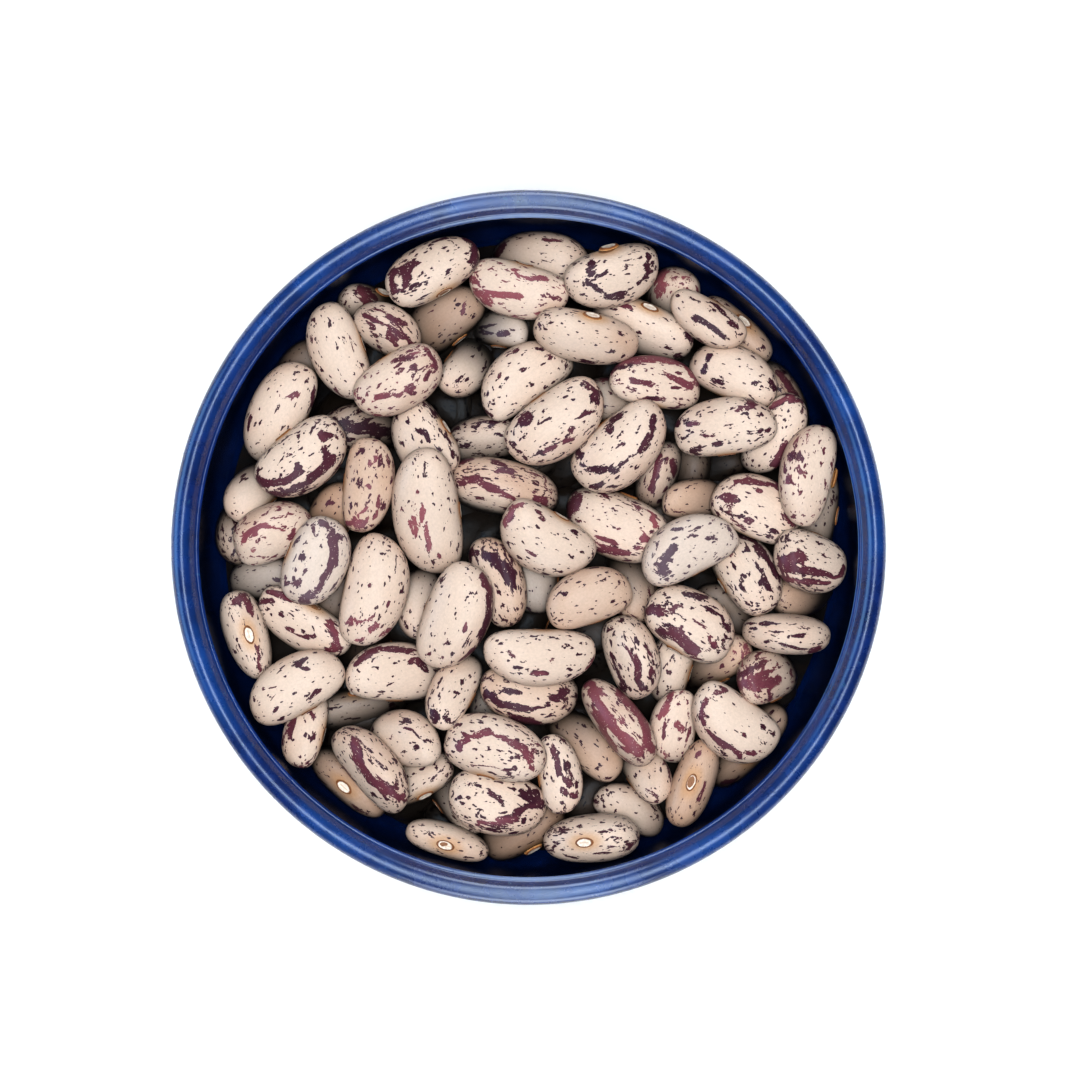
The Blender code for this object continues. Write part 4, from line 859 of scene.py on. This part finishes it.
def skin_finish(colours):
    """Bean skin: cream ground, rose to plum marks, a clear and warm field round the eye; painted shade deep
    in the heap, on the flanks and towards the outline.
    """
    finish = Finish("bean_skin", colours.cream)
    grain = finish.attribute("grain")
    amount, tone, tint = finish.split(finish.attribute("look"))
    eye_distance, outline, back = finish.split(finish.attribute("place"))
    splash, grey, depth = finish.split(finish.attribute("extra"))

    near_eye = finish.fall(eye_distance, 1.2, 3.6)
    wide = finish.noise(finish.scaled(grain, BLOTCH_GRAIN), 1.0, 4.0, 0.62, 0.6)
    fine = finish.noise(finish.scaled(grain, DASH_GRAIN), 1.0, 2.0, 0.55, 0.2)
    tiny = finish.noise(finish.scaled(grain, SPECK_GRAIN, (3, 8, 1)), 1.0, 1.0, 0.5)
    small = finish.noise(finish.scaled(grain, RAGGED_GRAIN), 1.0, 2.0, 0.6)
    field = finish.noise(finish.scaled(grain, FIELD_GRAIN, (7, 3, 5)), 1.0, 1.0)

    # Blotches where the large marks lie and a few besides, dashes and specks all over
    lift = finish.less(finish.swing(amount, 0.22), finish.times(near_eye, 0.16))
    lift = finish.sum(lift, finish.times(finish.less(outline, 0.75), 0.14))
    ragged = finish.swing(small, 0.14)
    blotch = finish.step(finish.sum(wide, finish.sum(lift, splash), ragged), 0.590, 0.612)
    dash = finish.step(finish.sum(fine, finish.times(lift, 0.45), ragged), 0.615, 0.640)
    speck = finish.step(finish.sum(tiny, finish.times(lift, 0.40), ragged), 0.660, 0.690)
    mark = finish.most(blotch, finish.most(dash, speck))
    holes = finish.step(finish.sum(small, finish.times(wide, 0.2)), 0.76, 0.80)
    mark = finish.times(mark, finish.less(1.0, finish.times(holes, 0.85)))

    # Marks are rose, maroon or plum, darker where they are small
    shade = finish.sum(tone, finish.swing(field, 0.5), finish.times(finish.less(1.0, blotch), 0.3),
                       finish.swing(small, 0.5))
    mark_colour = finish.ramp(shade, [(0.0, colours.rose), (0.45, colours.maroon), (0.9, colours.plum)])
    mark_colour = finish.blend(finish.times(grey, 0.5), mark_colour, colours.grey_mauve)

    # Ground: cream, blushing towards the back, darker and pinker towards the outline as painted shade, tan
    # on older beans
    blush_and_shade = finish.sum(finish.times(outline, 0.35), finish.times(back, 0.12), finish.swing(field, 0.8))
    ground = finish.blend(finish.step(blush_and_shade, 0.15, 0.75), colours.cream, colours.blush_and_shade)
    age = finish.sum(tint, finish.swing(field, 0.5))
    ground = finish.blend(finish.step(age, 0.25, 1.1), ground, colours.tan)
    ground = finish.blend(finish.times(grey, 0.6), ground, colours.cool_white)
    halo = finish.fall(finish.sum(eye_distance, finish.swing(small, 0.5)), 1.15, 3.1)
    ground = finish.blend(finish.times(halo, 0.55), ground, colours.halo)
    skin = finish.blend(mark, ground, mark_colour)
    ring = finish.fall(eye_distance, 1.0, 1.18)
    skin = finish.blend(finish.times(ring, 0.8), skin, colours.eye_ring)
    # Painted shade: the skin darkens with depth under the heap's top and on the flanks, times a random
    # mottle
    mottle = finish.step(small, 0.2, 0.8, 0.93, 1.05)
    value = finish.times(mottle, finish.step(depth, 0.0, SHADE_REACH, 1.0, 0.02))
    skin = finish.node("ShaderNodeVectorMath", {0: skin, "Scale": value}, operation="SCALE").outputs[0]

    relief = finish.noise(finish.scaled(grain, RELIEF_GRAIN), 1.0, 3.0, 0.6)
    relief = finish.bump(finish.sum(relief, finish.times(mark, -0.06)), SKIN_RELIEF)
    roughness = finish.step(finish.sum(small, finish.times(mark, -0.2)), 0.1, 0.9, 0.34, 0.50)
    finish.surface_gets(Base_Color=skin, Roughness=roughness, Normal=relief, Specular_IOR_Level=0.42)
    return finish.material


def eye_finish(colours):
    """The eye: a chalky white oval with a fine middle line, inside a raised dark ring."""
    finish = Finish("bean_eye", colours.eye_white)
    reach, beside, along = finish.split(finish.attribute("eye_place"))
    crumb = finish.noise(finish.object_place(), 2600.0, 3.0, 0.6)
    edge = finish.sum(reach, finish.swing(crumb, 0.22))
    white = finish.blend(finish.step(crumb, 0.3, 0.8), colours.eye_white, colours.cream)
    slit = finish.times(finish.fall(beside, 0.02, 0.16), finish.fall(along, 0.3, 0.55))
    white = finish.blend(finish.times(slit, 0.45), white, colours.halo)
    ringed = finish.blend(finish.step(edge, 0.60, 0.72), white, colours.eye_ring)
    outer = finish.blend(finish.step(edge, 0.86, 1.0), ringed, colours.halo)
    finish.surface_gets(Base_Color=outer, Roughness=finish.step(crumb, 0.2, 0.9, 0.5, 0.75),
                        Normal=finish.bump(crumb, EYE_RELIEF))
    return finish.material


def shade_finish(colours):
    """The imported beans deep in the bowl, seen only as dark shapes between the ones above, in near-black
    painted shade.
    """
    finish = Finish("packed_shade", colours.plum)
    place = finish.object_place()
    shade_noise = finish.noise(place, 700.0, 3.0)
    body = finish.blend(finish.step(shade_noise, 0.35, 0.7), *SHADE_COLOURS)
    finish.surface_gets(Base_Color=body, Roughness=finish.step(shade_noise, 0.2, 0.8, 0.7, 0.9),
                        Normal=finish.bump(finish.cells(place, 130.0), CORE_RELIEF))
    return finish.material


def floor_finish(colour):
    """A plain matt studio floor with a faint unevenness."""
    finish = Finish("studio_floor", colour)
    soft = finish.noise(finish.object_place(), 3.0, 2.0)
    body = finish.blend(finish.times(soft, 0.05), colour, (0.8, 0.8, 0.8, 1.0))
    roughness = finish.step(soft, 0.2, 0.8, 0.85, 0.95)
    finish.surface_gets(Base_Color=body, Roughness=roughness, Specular_IOR_Level=0.0)
    return finish.material


def splashes(bean, points, centre):
    """How strongly each point of a bean lies in one of its large marks, and the tone of that mark."""
    strength = np.zeros(len(points))
    tone = np.zeros(len(points))
    seen = points[:, :2] - centre[:2] + (bean.x, bean.y)
    for breadth, mark_tone, *places in MARKS.get(bean.name, ()):
        route = np.reshape(places, (-1, 2))
        for start, end in zip(route, route[1:]):
            stroke = end - start
            share = np.clip((seen - start) @ stroke / (stroke @ stroke), 0, 1)
            distance = np.linalg.norm(seen - start - share[:, None] * stroke, axis=1)
            here = np.exp(-(distance / (breadth / 2 + MARK_SOFTNESS)) ** 2)
            here *= points[:, 2] > centre[2] - MARK_DEPTH
            tone = np.where(here > strength, mark_tone, tone)
            strength = np.maximum(here, strength)
    return strength, tone


def bean_parts(beans, centres, facing, sizes, directions, tapers, draw):
    """Points and attributes of each bean."""
    parts = []
    for bean, centre, rotation, size, taper in zip(beans, centres, facing, sizes, tapers):
        waves = draw.normal(size=(4, 3)) * UNEVEN_WAVES
        phase = draw.uniform(0, 2 * np.pi, 4)
        uneven = 1 + UNEVEN * np.sin(directions @ waves.T + phase).sum(1)
        own = bean_surface(directions, size, bean.bend, taper) * uneven[:, None]
        points = inside_wall(own @ rotation.T + centre)
        amount, tone, tint = LOOKS[bean.look]
        tone = np.clip(tone + draw.uniform(-TONE_SPREAD, TONE_SPREAD), 0, 1)
        tint = np.clip(tint + draw.uniform(-TINT_SPREAD, TINT_SPREAD), 0, 1)
        grey = float(bean.look == "grey")
        count = len(directions)
        eye = np.hypot(own[:, 0] / EYE_HALF_LENGTH, own[:, 2] / EYE_HALF_BREADTH)
        eye = np.where(directions[:, 1] < 0, eye, NO_EYE)
        outline = np.hypot(directions[:, 0], directions[:, 1])
        strength, mark_tone = splashes(bean, points, centre)
        toned = tone + (mark_tone - tone) * np.minimum(2 * strength, 1)
        splash = strength * MARK_STRENGTH - MARK_CALM * (bean.name in MARKS)
        # Painted shade: darker with depth under the heap's top, and on flanks that face away from up
        depth = np.maximum(heap_top(np.hypot(points[:, 0], points[:, 1])) - points[:, 2] - SHADE_START, 0)
        outward = directions / size
        upward = (outward @ rotation.T)[:, 2] / np.linalg.norm(outward, axis=1)
        depth += FLANK_SHADE * (1 - np.clip(upward, 0, 1)) ** 2
        parts.append({
            "points": points,
            "grain": own + draw.uniform(-GRAIN_SPREAD, GRAIN_SPREAD, 3),
            "look": np.stack([np.full(count, amount), toned, np.full(count, tint)], 1),
            "place": np.stack([eye, outline, directions[:, 1]], 1),
            "extra": np.stack([splash, np.full(count, grey), depth], 1),
        })
    return parts


def beans_below(draw):
    """A hidden course of beans on a jittered grid, so that no gap shows the bowl's floor."""
    beans = []
    for row in BELOW_ROWS:
        for column in BELOW_ROWS:
            x = (column + row % 2 / 2) * BELOW_SPACING + draw.uniform(-BELOW_JITTER, BELOW_JITTER)
            y = row * BELOW_SPACING * ROW_SHARE + draw.uniform(-BELOW_JITTER, BELOW_JITTER)
            if np.hypot(x, y) < INNER_RADIUS - BELOW_EDGE:
                look = BELOW_LOOKS[int(draw.integers(len(BELOW_LOOKS)))]
                turn = draw.uniform(0, 360)
                size = (draw.uniform(*BELOW_LENGTHS), draw.uniform(*BELOW_BREADTHS))
                tilt = (draw.uniform(*BELOW_ROLLS), draw.uniform(*BELOW_LIFTS))
                beans.append(Bean("", x, y, turn, *size, *tilt, 0.0, BELOW_BEND, look))
    return beans


def bowl_profile(sizes):
    """From the middle of the bowl's floor up its inside, over the lip and down to the foot."""
    rim, height, foot = sizes.rim_radius / MM, sizes.height / MM, sizes.foot_radius / MM
    foot_inner = foot - sizes.foot_width / MM
    shares = np.sin(np.linspace(np.pi / 2, 0, FLANK_STEPS)) ** FLOOR_EASE
    rise = flank(INNER_RADIUS, INNER_POWER, INNER_TOP, INNER_FLOOR, shares)
    lip_centre = (rim - LIP_ROUND, height - LIP_ROUND)
    lip = arc(lip_centre, LIP_ROUND, LIP_START, 0, LIP_STEPS)
    foot_share = (1 - (foot / rim) ** OUTER_POWER) ** (1 / OUTER_POWER)
    shares = np.linspace(OUTER_START, foot_share, FLANK_STEPS)
    outside = flank(rim, OUTER_POWER, lip_centre[1], OUTER_BOTTOM, shares)
    ring = [(foot, FOOT_BEVEL), (foot - FOOT_CORNER, FOOT_CORNER), (foot - FOOT_BEVEL, 0.0),
            (foot_inner + FOOT_BEVEL, 0.0), (foot_inner + FOOT_CORNER, FOOT_CORNER),
            (foot_inner, FOOT_BEVEL)]
    recess = [(foot_inner - inwards, RECESS_HEIGHT - below) for inwards, below in RECESS_CORNERS]
    return rise + LEDGE + lip + outside + ring + recess + [(0.0, RECESS_HEIGHT)]


def turned(name, profile):
    """A closed piece turned from a profile that starts and ends on the axis."""
    form = bmesh.new()
    points = [form.verts.new((r * MM, 0.0, z * MM)) for r, z in profile]
    edges = [form.edges.new(pair) for pair in zip(points, points[1:])]
    bmesh.ops.spin(form, geom=points + edges, cent=(0, 0, 0), axis=(0, 0, 1), angle=2 * np.pi,
                   steps=AROUND, use_merge=True)
    bmesh.ops.remove_doubles(form, verts=form.verts, dist=MERGED * MM)
    bmesh.ops.recalc_face_normals(form, faces=form.faces)
    mesh = bpy.data.meshes.new(name)
    form.to_mesh(mesh)
    form.free()
    mesh.shade_smooth()
    mesh.set_sharp_from_angle(angle=np.radians(SHARP_ANGLE))
    return placed(name, mesh)


def heap_drawn():
    """The settled beans with their tapers, the same on every call."""
    centres, facing, sizes = settled_beans(LAYOUT)
    tapers = np.random.default_rng(WOBBLE_SEED).uniform(-WOBBLE, WOBBLE, len(LAYOUT))
    return centres, facing, sizes, tapers


def soft_light(name, place, size, energy, colour):
    """A large soft light that faces the bowl."""
    lamp = bpy.data.lights.new(name, "AREA")
    lamp.shape = "RECTANGLE"
    lamp.size, lamp.size_y = size
    lamp.energy = energy
    lamp.color = colour
    light = placed(name, lamp)
    light.location = place
    aim = light.location.copy()
    aim.z -= AIM_HEIGHT
    light.rotation_euler = aim.to_track_quat("Z", "Y").to_euler()
    return light


def length_property(name, description, default):
    return bpy.props.FloatProperty(name=name, description=description, default=default, unit="LENGTH")


class BowlSizes(bpy.types.PropertyGroup):
    """Sizes of the bowl and of the heap in it"""
    height: length_property("Height", "Height of the bowl", 0.046)
    rim_radius: length_property("Rim radius", "Radius over the lip", 0.050)
    foot_radius: length_property("Foot radius", "Radius of the foot ring", 0.0265)
    foot_width: length_property("Foot width", "Width of the foot ring", 0.0034)
    crest_drop: length_property("Crest drop", "Crest of the heap under the rim", 0.0065)
    edge_drop: length_property("Edge drop", "Edge of the heap under the rim", 0.0070)


def colour_property(name, description, default):
    return bpy.props.FloatVectorProperty(name=name, description=description, size=4, subtype="COLOR",
                                         min=0.0, max=1.0, default=default + (1.0,))


class BowlColours(bpy.types.PropertyGroup):
    """Colours of the glaze and of the beans"""
    glaze_deep: colour_property("Deep glaze", "Glaze where it lies thick", (0.0012, 0.008, 0.050))
    # Painted shade on the inner wall under the ledge
    glaze_wall_shade: colour_property("Inner wall", "Glaze under the ledge", (0.0004, 0.0015, 0.008))
    glaze_mid: colour_property("Even glaze", "Most of the glaze", (0.002, 0.028, 0.175))
    glaze_thin: colour_property("Thin glaze", "Glaze that breaks over the lip", (0.010, 0.095, 0.36))
    glaze_fleck: colour_property("Flecks", "Pale flecks in the glaze", (0.10, 0.35, 0.45))
    cream: colour_property("Cream", "Palest ground of the skin", (0.665, 0.53, 0.435))
    # Blush: a pinker ground towards the back, and painted shade towards the outline
    blush_and_shade: colour_property("Blush", "Ground towards the back", (0.55, 0.385, 0.295))
    tan: colour_property("Tan", "Ground of older beans", (0.48, 0.31, 0.215))
    cool_white: colour_property("Cool white", "Ground of the greyest beans", (0.62, 0.53, 0.465))
    rose: colour_property("Rose", "Lightest marks", (0.32, 0.10, 0.115))
    maroon: colour_property("Maroon", "Middle marks", (0.145, 0.040, 0.056))
    plum: colour_property("Plum", "Darkest marks", (0.052, 0.013, 0.024))
    grey_mauve: colour_property("Grey mauve", "Marks of the greyest beans", (0.16, 0.105, 0.13))
    halo: colour_property("Halo", "Warm ring round the eye", (0.52, 0.27, 0.10))
    eye_white: colour_property("Eye white", "Middle of the eye", (0.86, 0.80, 0.70))
    eye_ring: colour_property("Eye ring", "Dark ring of the eye", (0.22, 0.085, 0.03))


class StageLooks(bpy.types.PropertyGroup):
    """Floor, lights and camera"""
    floor: colour_property("Floor", "Colour of the studio floor", (0.96, 0.96, 0.96))
    brightness: bpy.props.FloatProperty(name="Brightness", description="Strength of all lights", default=1.0,
                                        subtype="FACTOR")
    camera_height: length_property("Camera height", "Camera above the rim", 0.380)
    lens: bpy.props.FloatProperty(name="Lens", description="Focal length in millimetres", default=90.9)


class BEANBOWL_OT_bowl(bpy.types.Operator):
    """Turn the glazed bowl with its rolled lip, inner ledge and foot ring"""
    bl_idname = "bean_bowl.bowl"
    bl_label = "Glazed Bowl"

    def execute(self, context):
        scene = context.scene
        bowl = turned("bowl_glazed", bowl_profile(scene.bean_bowl_sizes))
        bowl.data.materials.append(glaze_finish(scene.bean_bowl_colours))
        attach(bowl, "root")
        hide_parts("bowl")
        return {"FINISHED"}


class BEANBOWL_OT_beans(bpy.types.Operator):
    """Lay the beans that show, each with its own size, turn and markings"""
    bl_idname = "bean_bowl.beans"
    bl_label = "Beans on Top"

    def execute(self, context):
        centres, facing, sizes, tapers = heap_drawn()
        directions, triangles = even_ball(BEAN_SUBDIVISIONS)
        draw = np.random.default_rng(SKIN_SEED)
        parts = bean_parts(LAYOUT, centres, facing, sizes, directions, tapers, draw)
        skin = skin_finish(context.scene.bean_bowl_colours)
        for kind, looks in KINDS.items():
            chosen = [part for bean, part in zip(LAYOUT, parts) if bean.look in looks]
            beans = joined_mesh(kind, chosen, triangles)
            beans.data.materials.append(skin)
            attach(beans, "root")
            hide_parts("bean_heap")
        return {"FINISHED"}


class BEANBOWL_OT_eyes(bpy.types.Operator):
    """Set the white oval eye with its raised dark ring into each bean"""
    bl_idname = "bean_bowl.eyes"
    bl_label = "Bean Eyes"

    def execute(self, context):
        places, triangles = eye_disc(EYE_RINGS, EYE_SIDES)
        reach = np.hypot(places[:, 0], places[:, 1])
        rise = EYE_RISE * np.exp(-((reach * EYE_REACH - 1.0) / EYE_RING_BREADTH) ** 2)
        rise += EYE_LIFT - EYE_TUCK * (reach > EYE_EDGE)
        parts = []
        for bean, centre, rotation, size, taper in zip(LAYOUT, *heap_drawn()):
            across = places[:, 0] * EYE_REACH * EYE_HALF_LENGTH / (size[0] / 2)
            beside = places[:, 1] * EYE_REACH * EYE_HALF_BREADTH / (size[2] / 2)
            directions = np.stack([across, np.full(len(places), -1.0), beside], 1)
            directions /= np.linalg.norm(directions, axis=1)[:, None]
            own = bean_surface(directions, size, bean.bend, taper)
            outward = directions / size
            outward /= np.linalg.norm(outward, axis=1)[:, None]
            own += outward * rise[:, None]
            parts.append({
                "points": own @ rotation.T + centre,
                "eye_place": np.stack([reach, np.abs(places[:, 1]), np.abs(places[:, 0])], 1),
            })
        eyes = joined_mesh("bean_eyes", parts, triangles)
        eyes.data.materials.append(eye_finish(context.scene.bean_bowl_colours))
        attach(eyes, "root")
        return {"FINISHED"}


class BEANBOWL_OT_below(bpy.types.Operator):
    """Pack the hidden beans and the dark core under the ones that show, both darkened as painted shade"""
    bl_idname = "bean_bowl.below"
    bl_label = "Packed Beans"

    def execute(self, context):
        draw = np.random.default_rng(BELOW_SEED)
        beans = beans_below(draw)
        facing = laid_down(beans)[1]
        flat = np.array([(bean.x, bean.y) for bean in beans])
        heights = heap_top(np.hypot(*flat.T)) - BELOW_DROP - draw.uniform(*BELOW_SINK, len(beans))
        centres = np.column_stack([flat, heights])
        directions, triangles = even_ball(BEAN_SUBDIVISIONS - 1)
        tapers = draw.uniform(-WOBBLE, WOBBLE, len(beans))
        parts = bean_parts(beans, centres, facing, bean_sizes(beans), directions, tapers, draw)
        below = joined_mesh("beans_below", parts, triangles)
        below.data.materials.append(bpy.data.materials["bean_skin"])
        top = list(zip(CORE_RADII, heap_top(CORE_RADII) - CORE_DROP))
        core_floor = INNER_FLOOR + WALL_GAP
        heights = np.linspace(heap_top(INNER_RADIUS) - CORE_DROP, core_floor, CORE_SIDE_STEPS)
        side = list(zip(inner_radius(heights) - WALL_GAP, heights))
        core = turned("packed_core", top + side + [(0.0, core_floor)])
        core.data.materials.append(shade_finish(context.scene.bean_bowl_colours))
        for piece in (below, core):
            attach(piece, "root")
        return {"FINISHED"}


class BEANBOWL_OT_stage(bpy.types.Operator):
    """Set the pale floor, the soft studio lights and the camera straight above the bowl"""
    bl_idname = "bean_bowl.stage"
    bl_label = "Studio"

    def execute(self, context):
        scene = context.scene
        looks = scene.bean_bowl_stage
        form = bmesh.new()
        bmesh.ops.create_grid(form, x_segments=1, y_segments=1, size=FLOOR_HALF)
        mesh = bpy.data.meshes.new("studio_floor")
        form.to_mesh(mesh)
        form.free()
        floor = placed("studio_floor", mesh)
        floor.data.materials.append(floor_finish(looks.floor))
        for name, place, size, energy, colour, unseen_by in LIGHTS:
            light = soft_light(name, place, size, energy * looks.brightness, colour)
            for rays in unseen_by:
                setattr(light, rays, False)
        scene.objects["light_strip"].rotation_euler = (0.0, 0.0, 0.0)
        world = bpy.data.worlds.new("studio_world")
        world.use_nodes = True
        background = world.node_tree.nodes["Background"]
        background.inputs["Color"].default_value = WORLD_COLOUR
        background.inputs["Strength"].default_value = WORLD_STRENGTH
        scene.world = world
        scene.view_settings.view_transform = "Standard"
        scene.view_settings.gamma = GAMMA
        sensor = bpy.data.cameras.new("camera")
        sensor.lens = looks.lens
        sensor.sensor_width = SENSOR_WIDTH
        sensor.clip_start = CLIP_START
        camera = placed("camera", sensor)
        camera.location = (*SEEN_FROM * MM, scene.bean_bowl_sizes.height + looks.camera_height)
        scene.camera = camera
        return {"FINISHED"}


class BEANBOWL_PT_panel(bpy.types.Panel):
    """Lists the steps that build the bowl of beans"""
    bl_idname = "BEANBOWL_PT_panel"
    bl_label = "Bean Bowl"
    bl_space_type = "VIEW_3D"
    bl_region_type = "UI"
    bl_category = "Bean Bowl"

    def draw(self, context):
        for step in STEPS:
            self.layout.operator(step.bl_idname)
        for group in (context.scene.bean_bowl_sizes, context.scene.bean_bowl_stage):
            for name in group.__annotations__:
                self.layout.prop(group, name)


STEPS = (BEANBOWL_OT_bowl, BEANBOWL_OT_beans, BEANBOWL_OT_eyes, BEANBOWL_OT_below, BEANBOWL_OT_stage)
CLASSES = (BowlSizes, BowlColours, StageLooks) + STEPS + (BEANBOWL_PT_panel,)


def register():
    for cls in CLASSES:
        bpy.utils.register_class(cls)
    bpy.types.Scene.bean_bowl_sizes = bpy.props.PointerProperty(type=BowlSizes)
    bpy.types.Scene.bean_bowl_colours = bpy.props.PointerProperty(type=BowlColours)
    bpy.types.Scene.bean_bowl_stage = bpy.props.PointerProperty(type=StageLooks)


def unregister():
    del bpy.types.Scene.bean_bowl_stage
    del bpy.types.Scene.bean_bowl_colours
    del bpy.types.Scene.bean_bowl_sizes
    for cls in reversed(CLASSES):
        bpy.utils.unregister_class(cls)


def main():
    register()
    bpy.ops.bean_bowl.bowl()
    bpy.ops.bean_bowl.beans()
    bpy.ops.bean_bowl.eyes()
    bpy.ops.bean_bowl.below()
    bpy.ops.bean_bowl.stage()


if __name__ == "__main__":
    main()
